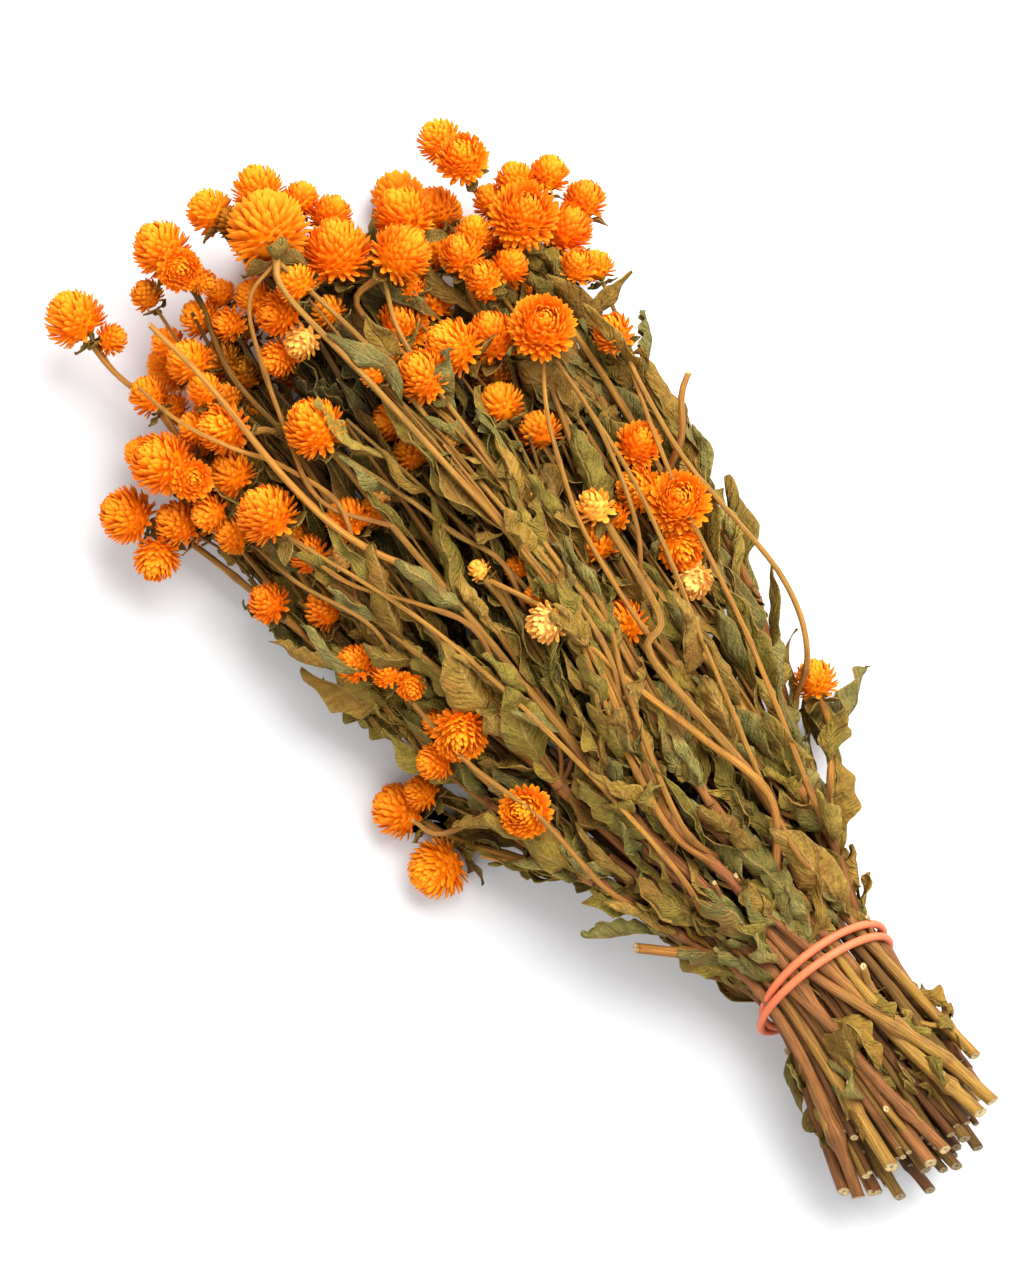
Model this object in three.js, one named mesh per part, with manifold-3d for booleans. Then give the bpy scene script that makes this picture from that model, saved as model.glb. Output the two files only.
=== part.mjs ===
// A bunch of dried orange globe amaranth, tied with a rubber band and lying on its side.
// Millimetres. It is laid out with X from the cut ends to the flowers, Y across the bunch and
// Z up from the table, and moved at the end so that its origin is under the band.

import * as THREE from "three";
import { mergeVertices } from "three/addons/utils/BufferGeometryUtils.js";
import Module from "manifold-3d";

const wasm = await Module();
wasm.setup();

const vector = (p) => new THREE.Vector3(...p);
const randomSeed = 20417;

const clearance = 0.3; // left between pieces that touch
const smallest = 0.12; // details below this are smoothed away
const bunchAxis = { across: -8, height: 30 }; // leaves grow away from this line
const restShare = 0.86; // a head on the table lies this low, flattened where it touches

const stemSides = 5;
const stalkSides = 3;
const stalkRadius = 0.95;
const seatRadius = 1.7; // a stalk widens into the green seat of its head
const stalkStep = 36; // about the length of one straight piece of a stalk
const jointSwelling = 1.35; // a stem is thicker where it forks
const approachLength = 15; // a stalk's last stretch, in line with its head

const coreShare = 0.74; // a head's solid middle, as a share of its width
const coreOverlap = 3.5; // heads of one piece that share this much need no link
const linkRadius = 1.3; // what joins a side head to its neighbour
const sharedByHeads = 0.6; // the overlap of two heads of one piece
const bractLean = 0.35; // how far the bracts lean towards the top of their head
const touchShare = 0.93; // heads press together until they are this close

const headKinds = [
  { upTo: 14.2, around: 5, rings: 2 },
  { upTo: 22.5, around: 6, rings: 2 },
  { upTo: 40, around: 6, rings: 3 },
];

const leafThickness = 1;
const rootVolume = 3.5; // how much of a leaf may lie in its own stem
const leafProfiles = {
  named: [[0.26, 0.62], [0.54, 1], [0.82, 0.6]], // a place along the blade, and its share of the width
  random: [[0.38, 0.9], [0.72, 0.8]],
};

// The rubber band goes round twice and leans: its top is nearer the flowers than its foot.
const band = {
  along: 73,
  across: -11,
  height: 25.9,
  halfWidth: 27.4,
  halfHeight: 23.9,
  lean: 11,
  strandRadius: 1.2,
  spread: 2.7, // half the distance between the two turns, side by side
  lift: 1.4, // half their distance where one crosses over the other
  crossingAngle: 2.6, // where they cross, from +Y over the top
  spans: 42,
  sides: 5,
  foot: 63.4, // where it rests on the table
  grip: 9, // the stems run straight for this far on either side of it
};

// Each flowering stem: its cut end, where it passes the band, its first fork, and its radius.
// The inner ones are pressed against others under the band, and the rest against the band.
const stems = {
  stem_left_short: { cut: [28, 20, 38], tied: [9, 34.5], fork: [152, 33, 42], radius: 2.4 },
  stem_left_low: { cut: [8, 29, 28], tied: [11.3, 27.5], fork: [196, 47, 32], radius: 2.2 },
  stem_left_edge: { cut: [0, 21, 18], tied: [9.3, 17.9], fork: [228, 55, 22], radius: 2.2 },
  stem_left_top: { cut: [7, 10, 43], tied: [4.3, 39.7], fork: [186, 26, 52], radius: 2.4 },
  stem_left_inner: { cut: [-6, 14, 26], tied: [5.6, 31], fork: [228, 33, 38], radius: 2.1, inner: true },
  stem_left_deep: { cut: [-12, 4, 17], tied: [5.3, 20.3], fork: [232, 24, 26], radius: 2.0, inner: true },
  stem_middle_top: { cut: [0, -2, 44], tied: [-1.9, 43.2], fork: [164, 9, 58], radius: 2.3 },
  stem_middle_left: { cut: [-3, 1, 31], tied: [-1.6, 38.6], fork: [224, 8, 44], radius: 2.0, inner: true },
  stem_crossing: { cut: [3, -27, 40], tied: [-11.8, 44.8], fork: [155, 0, 62], radius: 2.5 },
  stem_middle: { cut: [2, -8, 37], tied: [-11.6, 40], fork: [214, -8, 48], radius: 2.3, inner: true },
  stem_middle_deep: { cut: [-10, -9, 22], tied: [-2.5, 13.1], fork: [228, -4, 30], radius: 2.0, inner: true },
  stem_right_top: { cut: [-2, -17, 34], tied: [-21.5, 42.6], fork: [150, -16, 58], radius: 2.2 },
  stem_right_inner: { cut: [-9, -19, 25], tied: [-20, 38.5], fork: [214, -27, 42], radius: 2.1, inner: true },
  stem_slanting: { cut: [19, -38, 30], tied: [-29.3, 36.7], fork: [152, -33, 52], radius: 2.0 },
  stem_right_deep: { cut: [-6, -13, 13], tied: [-16, 11], fork: [236, -30, 22], radius: 1.9, inner: true },
  stem_right_side: { cut: [10, -32, 21], tied: [-33, 29.2], fork: [116, -44, 46], radius: 2.4 },
  stem_right_edge: { cut: [4, -29, 15], tied: [-32.6, 21], fork: [178, -63, 34], radius: 2.2 },
  stem_right_low: { cut: [8, -22, 9], tied: [-26.8, 12.5], fork: [198, -74, 24], radius: 2.1 },
  stem_under_right: { cut: [-4, -10, 5], tied: [-14.1, 7.2], fork: [226, -58, 16], radius: 2.0 },
  stem_under_left: { cut: [2, 4, 7], tied: [-1.5, 8.8], fork: [230, 36, 14], radius: 2.0 },
};

// A flower head: its middle, its greatest width, the way its top faces (turned from the
// bunch's length towards +Y, and tipped up from the table), the stem that bears it, and
// points that its stalk passes. A side head has no stalk, and sits against its neighbour.
const head = (along, across, height, width, turned, tipped, stem, ...via) => ({
  middle: new THREE.Vector3(along, across, height),
  width,
  turned: THREE.MathUtils.degToRad(turned),
  tipped: THREE.MathUtils.degToRad(tipped),
  stem,
  via,
});

// Heads that grow or lie pressed together are one piece.
const headGroups = {
  heads_left_corner: [
    head(357, 89, 27, 22, 30, 20, "stem_left_edge", [300, 60, 27]),
    head(339, 90, 26, 18, 125, 25),
  ],
  heads_left_large: [
    head(363, 67, 47, 24, 20, 30, "stem_left_top", [300, 47, 48]),
    head(352, 62, 52, 16, -160, 75),
    head(328, 62, 37, 15, 30, 5, "stem_left_edge", [290, 60, 30]),
    head(339, 64, 41, 15, 60, 10),
  ],
  head_left_yellow: [head(325, 48, 60, 23, 5, 15, "stem_left_top", [260, 38, 58])],
  heads_left_middle: [
    head(359, 42, 56, 20, 45, 25, "stem_left_inner", [300, 36, 46]),
    head(345, 50, 44, 18, 10, 10),
    head(366, 50, 46, 14, 30, 0),
    head(374, 40, 52, 14, -20, 5),
    head(386, 38, 45, 18, 10, 10, "stem_left_inner", [310, 28, 36]),
  ],
  head_left_far: [head(386, 57, 35, 16, 0, 10, "stem_left_inner", [320, 44, 34])],
  heads_tip_left: [
    head(424, 62, 34, 23, 0, 8, "stem_left_deep", [330, 40, 26], [385, 56, 26]),
    head(411, 56, 34, 12.5, -110, 10),
  ],
  heads_tip_middle: [
    head(424, 22, 47, 22, 0, 10, "stem_left_deep", [330, 22, 42]),
    head(414, 21, 53, 17, 180, 70),
    head(406, 17, 49, 10.5, -140, 20),
  ],
  heads_far_inner: [
    head(397, 25, 37, 16, 10, 10, "stem_left_deep", [330, 26, 30]),
    head(389, 18, 43, 14, 40, 40),
    head(400, 14, 34, 12.5, 0, 0),
  ],
  heads_centre_far: [
    head(380, 3, 55, 17, 45, 40, "stem_middle_left", [320, 6, 52]),
    head(391, 6, 44, 15, 20, 10),
    head(367, 2, 59, 14, 100, 30),
    head(368, 12, 50, 15, 80, 20),
  ],
  head_tip_back: [head(425, 0, 40, 18, 0, -20, "stem_middle_left", [330, 2, 38])],
  head_top_yellow: [
    head(404, -12, 70, 30, -20, -25, "stem_crossing", [205, -9, 68], [250, -14, 70], [320, -13, 74]),
  ],
  heads_tip_right: [
    head(420, -18, 47, 20, -20, 5, "stem_middle", [330, -12, 46]),
    head(409, -28, 42, 15, -50, 0),
    head(398, -33, 42, 17, -60, 10, "stem_middle", [330, -22, 38]),
  ],
  head_top_orange: [
    head(384, -27, 61, 26, -30, 20, "stem_crossing", [200, -14, 64], [250, -23, 64], [310, -25, 64]),
  ],
  head_top_drooping: [head(370, -44, 66, 23, -80, 15, "stem_right_top", [250, -27, 62], [320, -32, 60])],
  heads_centre_right: [
    head(351, -30, 46, 21, -20, 50, "stem_right_inner", [290, -30, 44]),
    head(352, -44, 38, 18, -30, 0),
  ],
  head_right_far: [head(382, -54, 45, 23, -10, 20, "stem_right_inner", [300, -42, 38])],
  heads_right_stack: [
    head(331, -25, 65, 21, 0, 30, "stem_right_top", [240, -20, 62], [290, -23, 62]),
    head(333, -40, 61, 22, 20, 20),
    head(328, -53, 50, 21, -20, 20),
  ],
  head_right_round: [head(320, -69, 62, 25, -40, 70, "stem_slanting", [225, -36, 58], [290, -55, 56])],
  heads_right_small: [
    head(358, -63, 55, 17, -20, 30, "stem_right_side", [220, -46, 46], [300, -60, 48]),
    head(347, -64, 58, 14, 0, 40),
    head(362, -71, 48, 15, -40, 0),
    head(345, -74, 50, 15, -60, 10),
  ],
  head_right_large: [head(356, -87, 50, 26, -50, 60, "stem_right_edge", [250, -74, 40], [310, -84, 42])],
  heads_right_tip: [
    head(386, -83, 45, 20, -10, 55, "stem_right_edge", [260, -68, 34], [340, -76, 32]),
    head(396, -81, 38, 18, 0, 10),
  ],
  heads_right_corner: [
    head(369, -94, 33, 16, -20, 5, "stem_right_low", [280, -86, 26]),
    head(364, -105, 30, 16, -50, 10),
    head(349, -110, 27, 17, -40, 20),
    head(345, -98, 30, 21, -70, 30),
    head(331, -93, 37, 15, -30, 40),
  ],
  head_middle_small: [head(326, -7, 50, 15, 60, 30, "stem_middle_top", [240, 2, 56])],
  head_middle_round: [head(339, 16, 66, 23, 0, 25, "stem_middle_top", [230, 12, 64], [300, 11, 64])],
  heads_left_hidden: [
    head(306, 45, 47, 15, 10, 30, "stem_left_low", [250, 48, 38]),
    head(298, 37, 44, 12.5, -40, 20),
  ],
  head_left_upper: [head(301, 67, 36, 16, 10, 20, "stem_left_low", [250, 55, 32])],
  heads_left_side: [
    head(265, 55, 44, 15, 20, 30, "stem_left_short", [210, 46, 44]),
    head(256, 48, 46, 12.5, 0, 40),
    head(247, 44, 47, 11.5, 160, 50),
  ],
  heads_left_near: [
    head(223, 40, 54, 21, 140, 55, "stem_left_short", [196, 38, 43], [220, 34, 37]),
    head(220, 53, 44, 15, 60, 20),
  ],
  head_stray: [head(213, 75, 9, 22, 25, 5, "stem_left_short", [172, 50, 22], [190, 63, 11])],
  head_stray_large: [head(188, 76, 10, 24, 80, 4, "stem_left_short", [168, 50, 32])],
  head_near_band: [head(187, 38, 56, 20, 60, 65, "stem_left_short", [168, 37, 50])],
  head_pale: [head(236, -8, 70, 16, 80, 35, "stem_middle_top", [195, 0, 64])],
  head_bud_pale: [head(258, -46, 60, 15, 0, 30, "stem_right_side", [190, -46, 56])],
  heads_right_near: [
    head(242, -71, 52, 24, -30, 75, "stem_right_edge", [205, -68, 46]),
    head(229, -62, 47, 18, 170, 45),
    head(254, -63, 47, 18, 40, 40),
    head(267, -72, 46, 18, -60, 50),
    head(217, -59, 45, 15, 120, 50),
  ],
  head_band_edge: [head(161, -73, 28, 17, -20, 10, "stem_right_side", [138, -60, 34])],
  head_right_leafy: [head(304, -89, 44, 16, 0, 35, "stem_right_low", [250, -86, 34])],
  heads_under_right: [
    head(392, -58, 8, 21, -20, -30, "stem_under_right", [300, -56, 12]),
    head(378, -66, 7, 18, -90, -40),
    head(368, -50, 7, 17, 40, -60),
  ],
  heads_under_middle: [
    head(402, -8, 9, 22, 0, -25, "stem_middle_deep", [320, -5, 18]),
    head(386, 2, 8, 18, 60, -50),
    head(372, -8, 8, 18, -160, -50),
  ],
  heads_under_left: [
    head(392, 44, 8, 21, 20, -25, "stem_under_left", [310, 42, 13]),
    head(376, 38, 8, 18, -60, -45),
  ],
};

// Buds and small pale heads deep in the leaves, borne by a stem and one piece with it.
const budsOnStems = [
  head(265, 0, 63, 9, 0, 15, "stem_middle_top", [215, 5, 60]),
  head(271, -31, 60, 10, -10, 30, "stem_slanting", [215, -34, 58]),
  head(308, -19, 58, 9, 10, 40, "stem_crossing", [250, -19, 62]),
  head(308, 11, 54, 10, 30, 20, "stem_left_top", [250, 22, 54]),
  head(338, -72, 24, 14, -20, -20, "stem_under_right", [280, -66, 18]),
  head(336, 50, 12, 14, 20, -20, "stem_under_left", [280, 46, 16]),
  head(300, 18, 10, 13, 0, -30, "stem_under_left", [262, 28, 14]),
  head(300, -36, 9, 14, -10, -30, "stem_right_deep", [265, -34, 18]),
  head(372, 72, 24, 14, 20, 0, "stem_left_edge", [300, 66, 20]),
  head(352, -20, 22, 14, 0, -20, "stem_right_deep", [300, -26, 26]),
];

// A leaf: where it springs from its stem, its tip, its greatest width, how far its middle
// rises over the straight line, how its blade is turned about its length, and its fold.
const leaf = (stem, from, to, width, { rise = 4, turn = 0, fold = 0.15, twist = 20 } = {}) => ({
  stem,
  from: vector(from),
  to: vector(to),
  width,
  rise,
  turn: THREE.MathUtils.degToRad(turn),
  twist: THREE.MathUtils.degToRad(twist),
  fold,
});

// The leaves that stand out, from the band to the flowers.
const namedLeaves = [
  leaf("stem_slanting", [84, -31, 50], [132, -28, 60], 16, { rise: 5, turn: -20 }),
  leaf("stem_right_side", [134, -50, 50], [166, -51, 58], 14, { rise: 4, turn: -35 }),
  leaf("stem_right_edge", [160, -61, 44], [208, -66, 50], 14, { rise: 5, turn: -40 }),
  leaf("stem_left_top", [220, 29, 60], [252, 24, 70], 17, { rise: 4, turn: 15 }),
  leaf("stem_left_top", [196, 22, 60], [228, 17, 72], 18, { rise: 4, turn: 5 }),
  leaf("stem_crossing", [218, -18, 68], [248, -22, 74], 10, { rise: 4, turn: 30 }),
  leaf("stem_right_top", [218, -26, 62], [256, -30, 70], 8, { rise: 4, turn: -60 }),
  leaf("stem_slanting", [190, -38, 58], [218, -50, 66], 12, { rise: 5, turn: -50, fold: 0.35 }),
  leaf("stem_slanting", [158, -35, 54], [188, -41, 66], 14, { rise: 4, fold: 0.3 }),
  leaf("stem_right_low", [283, -84, 40], [318, -84, 54], 10, { rise: 9, turn: -70 }),
  leaf("stem_right_low", [312, -84, 40], [319, -108, 34], 8, { rise: 5, turn: 40 }),
  leaf("stem_left_low", [246, 56, 36], [276, 73, 32], 12, { rise: 6, turn: 45, fold: 0.4 }),
  leaf("stem_left_short", [132, 33, 46], [150, 42, 52], 9, { rise: 3, turn: 20 }),
  leaf("stem_left_low", [150, 44, 36], [176, 52, 44], 11, { rise: 4, turn: 50 }),
  leaf("stem_crossing", [352, -8, 62], [386, -4, 58], 10, { rise: 4, turn: 20, fold: 0.4 }),
  leaf("stem_right_low", [236, -84, 32], [262, -93, 36], 9, { rise: 4, turn: -50 }),
  leaf("stem_right_side", [112, -48, 44], [138, -62, 46], 14, { rise: 6, turn: -60, fold: 0.4 }),
  leaf("stem_right_low", [168, -76, 26], [204, -86, 30], 7, { rise: 4, turn: -70 }),
  leaf("stem_middle_top", [40, -3, 46], [62, -6, 56], 13, { rise: 3, fold: 0.4 }),
  leaf("stem_left_low", [48, 25, 30], [58, 18, 46], 5, { rise: 6, turn: 60 }),
  leaf("stem_left_short", [96, 26, 42], [116, 24, 54], 9, { rise: 5, turn: 30, fold: 0.4 }),
  leaf("stem_middle_top", [96, -2, 50], [128, 6, 60], 13, { rise: 4, turn: 20, fold: 0.3 }),
  leaf("stem_right_top", [104, -18, 52], [136, -14, 62], 12, { rise: 4, turn: -10, fold: 0.3 }),
  leaf("stem_left_top", [112, 18, 48], [146, 22, 56], 12, { rise: 4, turn: 25, fold: 0.25 }),
  leaf("stem_middle_top", [150, 6, 58], [186, 16, 66], 13, { rise: 3, turn: 20, fold: 0.3 }),
  leaf("stem_crossing", [176, -8, 66], [206, -2, 74], 12, { rise: 3, turn: 10, fold: 0.3 }),
  leaf("stem_right_edge", [214, -68, 38], [246, -84, 42], 12, { rise: 6, turn: -60 }),
  leaf("stem_slanting", [252, -48, 56], [288, -56, 66], 13, { rise: 4, turn: -30, fold: 0.3 }),
  leaf("stem_left_low", [206, 49, 34], [240, 62, 34], 13, { rise: 5, turn: 60, fold: 0.3 }),
  leaf("stem_left_top", [262, 30, 58], [296, 24, 66], 13, { rise: 4, turn: 25, fold: 0.3 }),
  leaf("stem_middle_top", [262, 8, 62], [296, -2, 70], 12, { rise: 3, turn: -10, fold: 0.3 }),
  leaf("stem_right_top", [268, -24, 62], [300, -34, 68], 12, { rise: 4, turn: -20, fold: 0.3 }),
  leaf("stem_left_edge", [232, 58, 22], [268, 70, 14], 12, { rise: 4, turn: 80, fold: 0.3 }),
  leaf("stem_right_low", [206, -78, 22], [240, -92, 14], 12, { rise: 4, turn: -80, fold: 0.3 }),
];

// The rest of the leaves are drawn at random along the stems.
const leafRule = {
  perStem: 8,
  from: 86,
  to: 338,
  length: [24, 42],
  width: [8, 14],
  lean: [12, 48], // degrees away from the stem
  around: 75, // degrees to either side of straight out
};

function randomNumbers(seed) {
  let state = seed;
  return () => {
    state = (state + 0x6d2b79f5) | 0;
    let t = Math.imul(state ^ (state >>> 15), 1 | state);
    t = (t + Math.imul(t ^ (t >>> 7), 61 | t)) ^ t;
    return ((t ^ (t >>> 14)) >>> 0) / 4294967296;
  };
}

const between = ([low, high], share) => low + (high - low) * share;
const facing = ({ turned, tipped }) =>
  new THREE.Vector3(
    Math.cos(tipped) * Math.cos(turned),
    Math.cos(tipped) * Math.sin(turned),
    Math.sin(tipped),
  );
const bandAlong = (height) => band.along + (band.lean * (height - band.height)) / band.halfHeight;

// Heads that overlap are pushed apart, each group as one piece, and none goes into the table.
function settleHeads(groups) {
  const rounds = 90;
  const share = 0.3;
  for (let round = 0; round < rounds; round++) {
    const moves = groups.map(() => new THREE.Vector3());
    for (let i = 0; i < groups.length; i++) {
      for (let j = i + 1; j < groups.length; j++) {
        for (const a of groups[i]) {
          for (const b of groups[j]) {
            const apart = b.middle.clone().sub(a.middle);
            const wanted = (touchShare * (a.width + b.width)) / 2;
            const missing = wanted - apart.length();
            if (missing <= 0) continue;
            apart.normalize();
            moves[i].addScaledVector(apart, -share * missing);
            moves[j].addScaledVector(apart, share * missing);
          }
        }
      }
    }
    groups.forEach((group, i) => {
      for (const h of group) h.middle.add(moves[i]);
      const sunk = Math.max(...group.map((h) => (restShare * h.width) / 2 - h.middle.z));
      if (sunk > 0) for (const h of group) h.middle.z += sunk;
    });
  }
}

// The strands: for each stem a trunk up to its fork, then a stalk to each of its heads. They
// share the vertex at the fork. A held vertex stays where it is, and one at the band may move
// only across the bunch.
function layStrands(heads) {
  const vertices = [];
  const strands = [];
  const add = (point, radius, role = "free", inner = false) =>
    vertices.push({ point, start: point.clone(), radius, role, inner }) - 1;
  const forks = {};
  for (const [name, stem] of Object.entries(stems)) {
    const [across, height] = stem.tied;
    const along = bandAlong(height);
    const curve = new THREE.CatmullRomCurve3(
      [
        vector(stem.cut),
        new THREE.Vector3(along - band.grip, across, height),
        new THREE.Vector3(along + band.grip, across, height),
        vector(stem.fork),
      ],
      false,
      "catmullrom",
    );
    const places = [0, 1 / 6, 1 / 3, 2 / 3, 3 / 4, 5 / 6, 11 / 12, 1];
    const indices = places.map((place, i) => {
      const role = i === 0 ? "held" : i === 2 || i === 3 ? "tied" : "free";
      return add(curve.getPoint(place), between([1, 0.78], place) * stem.radius, role, stem.inner);
    });
    forks[name] = indices.at(-1);
    strands.push({ stem: name, indices });
  }
  for (const h of heads) {
    if (!h.stem) continue;
    const out = facing(h);
    const seat = h.middle.clone().addScaledVector(out, (-coreShare * h.width) / 2);
    const approach = seat.clone().addScaledVector(out, -approachLength);
    const fork = forks[h.stem];
    const through = [vertices[fork].point, ...h.via.map(vector), approach];
    const reach = through.slice(1).reduce((sum, p, i) => sum + p.distanceTo(through[i]), 0);
    const spans = Math.max(2, Math.round(reach / stalkStep));
    const line = new THREE.CatmullRomCurve3(through, false, "catmullrom").getPoints(spans);
    const thickness = (i) => stalkRadius + 0.5 * (1 - i / spans);
    const indices = line.slice(1).map((p, i) => add(p, thickness(i), i === spans - 1 ? "held" : "free"));
    strands.push({ stem: h.stem, head: h, indices: [fork, ...indices, add(seat, seatRadius, "held")] });
  }
  return { vertices, strands };
}

// The nearest points of two straight pieces p and q, as shares along each, and their distance.
function nearest(p0, p1, q0, q1) {
  const u = p1.clone().sub(p0);
  const v = q1.clone().sub(q0);
  const w = p0.clone().sub(q0);
  const [a, b, c, d, e] = [u.dot(u), u.dot(v), v.dot(v), u.dot(w), v.dot(w)];
  const clamp = (x) => Math.min(1, Math.max(0, x));
  const area = a * c - b * b;
  let s = area > 1e-9 ? clamp((b * e - c * d) / area) : 0;
  const t = clamp((b * s + e) / c);
  s = clamp((b * t - d) / a);
  const apart = w.addScaledVector(u, s).addScaledVector(v, -t);
  return { s, t, apart };
}

// Stems push each other apart where they cross, keep out of the heads, the table and the band,
// and otherwise stay near where they were laid.
function settleStrands({ vertices, strands }, heads) {
  const rounds = 140;
  const room = 0.15;
  const pieces = strands.flatMap(({ stem, head, indices }) =>
    indices.slice(1).map((b, i) => ({ a: indices[i], b, stem, head, last: i === indices.length - 2 })),
  );
  const radiusOf = ({ a, b }) => Math.max(vertices[a].radius, vertices[b].radius);
  for (let round = 0; round < rounds; round++) {
    const moves = vertices.map(() => ({ sum: new THREE.Vector3(), count: 0 }));
    const push = (piece, share, move) => {
      for (const [index, weight] of [[piece.a, 1 - share], [piece.b, share]]) {
        moves[index].sum.addScaledVector(move, weight);
        moves[index].count += weight;
      }
    };
    for (let i = 0; i < pieces.length; i++) {
      const p = pieces[i];
      const [p0, p1] = [vertices[p.a].point, vertices[p.b].point];
      for (let j = i + 1; j < pieces.length; j++) {
        const q = pieces[j];
        if (p.stem === q.stem) continue;
        const [q0, q1] = [vertices[q.a].point, vertices[q.b].point];
        const wanted = radiusOf(p) + radiusOf(q) + room;
        if (Math.max(p0.x, p1.x) + wanted < Math.min(q0.x, q1.x)) continue;
        if (Math.max(q0.x, q1.x) + wanted < Math.min(p0.x, p1.x)) continue;
        const { s, t, apart } = nearest(p0, p1, q0, q1);
        const missing = wanted - apart.length();
        if (missing <= 0) continue;
        apart.normalize();
        push(p, s, apart.clone().multiplyScalar(missing / 2));
        push(q, t, apart.multiplyScalar(-missing / 2));
      }
      for (const h of heads) {
        if (h === p.head && p.last) continue;
        const { s, apart } = nearest(p0, p1, h.middle, h.middle.clone().add(tiny));
        const missing = (touchShare * h.width) / 2 + radiusOf(p) - apart.length();
        if (missing > 0) push(p, s, apart.setLength(missing));
      }
    }
    for (const { indices } of strands) {
      indices.slice(1, -1).forEach((index, i) => {
        const middle = vertices[indices[i]].point.clone().lerp(vertices[indices[i + 2]].point, 0.5);
        moves[index].sum.addScaledVector(middle.sub(vertices[index].point), 0.06);
      });
    }
    const tied = vertices.filter(({ role }) => role === "tied");
    vertices.forEach((v, i) => {
      if (v.role === "held") return;
      const { sum, count } = moves[i];
      if (v.inner && v.role === "tied") sum.add(towardsNeighbour(v, tied));
      v.point.addScaledVector(sum, 1 / Math.max(1, count));
      v.point.addScaledVector(v.start.clone().sub(v.point), 0.01);
      if (v.role === "tied") keepInBand(v);
      v.point.z = Math.max(v.point.z, v.radius + 0.1);
    });
  }
}

const tiny = new THREE.Vector3(1e-4, 0, 0);
const upward = new THREE.Vector3(0, 0, 1);

// From an inner stem to the nearest of those that lie against the band.
function towardsNeighbour({ point, radius }, tied) {
  const paths = tied.filter(({ inner }) => !inner).map((other) => ({
    path: other.point.clone().sub(point),
    touching: radius + other.radius,
  }));
  const { path, touching } = paths.sort((a, b) => a.path.length() - b.path.length())[0];
  return path.setLength((path.length() - touching) / 4);
}

// Where the band holds it, a stem lies against the band, or inside its neighbours.
function keepInBand({ point, start, radius, inner }) {
  const turn = Math.atan2(
    (point.z - band.height) / band.halfHeight,
    (point.y - band.across) / band.halfWidth,
  );
  const lowered = band.lift * Math.abs(Math.sin((turn - band.crossingAngle) / 2));
  const inset = band.strandRadius + lowered + radius + clearance / 2;
  const y = (point.y - band.across) / (band.halfWidth - inset);
  const z = (point.z - band.height) / (band.halfHeight - inset);
  const over = Math.hypot(y, z);
  if (over > 1 || !inner) {
    point.y = band.across + (point.y - band.across) / over;
    point.z = band.height + (point.z - band.height) / over;
  }
  point.x = start.x;
}

// A closed mesh of rings of points, as a solid. Each ring has the same number of points,
// counter-clockwise seen from the far end, and each end closes to one point. The two halves
// round it are split into triangles alike, so that a thin waved blade doesn't cross itself.
function ringSolid(rings, first, last) {
  const sides = rings[0].length;
  const points = [first, ...rings.flat(), last];
  const at = (ring, side) => 1 + ring * sides + (side % sides);
  const faces = [];
  for (let side = 0; side < sides; side++) {
    faces.push([0, at(0, side + 1), at(0, side)]);
    for (let ring = 0; ring + 1 < rings.length; ring++) {
      const [a, b, c, d] = [at(ring, side), at(ring, side + 1), at(ring + 1, side + 1), at(ring + 1, side)];
      if (side < sides / 2) faces.push([a, b, c], [a, c, d]);
      else faces.push([a, b, d], [b, c, d]);
    }
    faces.push([points.length - 1, at(rings.length - 1, side), at(rings.length - 1, side + 1)]);
  }
  return solidOf(points, faces);
}

function solidOf(points, faces) {
  const mesh = new wasm.Mesh({
    numProp: 3,
    vertProperties: new Float32Array(points.flatMap((p) => p.toArray())),
    triVerts: new Uint32Array(faces.flat()),
  });
  return new wasm.Manifold(mesh);
}

// The two directions across a line at each of its points, carried along it without a twist.
function frames(points) {
  let side = null;
  return points.map((point, i) => {
    const tangent = points[Math.min(i + 1, points.length - 1)].clone().sub(points[Math.max(i - 1, 0)]);
    tangent.normalize();
    side = side ? side.clone().projectOnPlane(tangent) : upward.clone().cross(tangent);
    side.normalize();
    return { side, normal: tangent.clone().cross(side) };
  });
}

function tube(points, radii, sides) {
  const lines = frames(points);
  const rings = points.map((point, i) => {
    const { side, normal } = lines[i];
    return Array.from({ length: sides }, (_, k) => {
      const angle = (2 * Math.PI * k) / sides;
      return point
        .clone()
        .addScaledVector(side, radii[i] * Math.cos(angle))
        .addScaledVector(normal, radii[i] * Math.sin(angle));
    });
  });
  return ringSolid(rings, points[0], points.at(-1));
}


function ball(middle, radius) {
  const geometry = new THREE.OctahedronGeometry(radius);
  geometry.deleteAttribute("normal");
  geometry.deleteAttribute("uv");
  const merged = mergeVertices(geometry);
  const position = merged.getAttribute("position");
  const points = Array.from({ length: position.count }, (_, i) =>
    new THREE.Vector3().fromBufferAttribute(position, i).add(middle),
  );
  return solidOf(points, [Array.from(merged.index.array)]);
}

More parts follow.
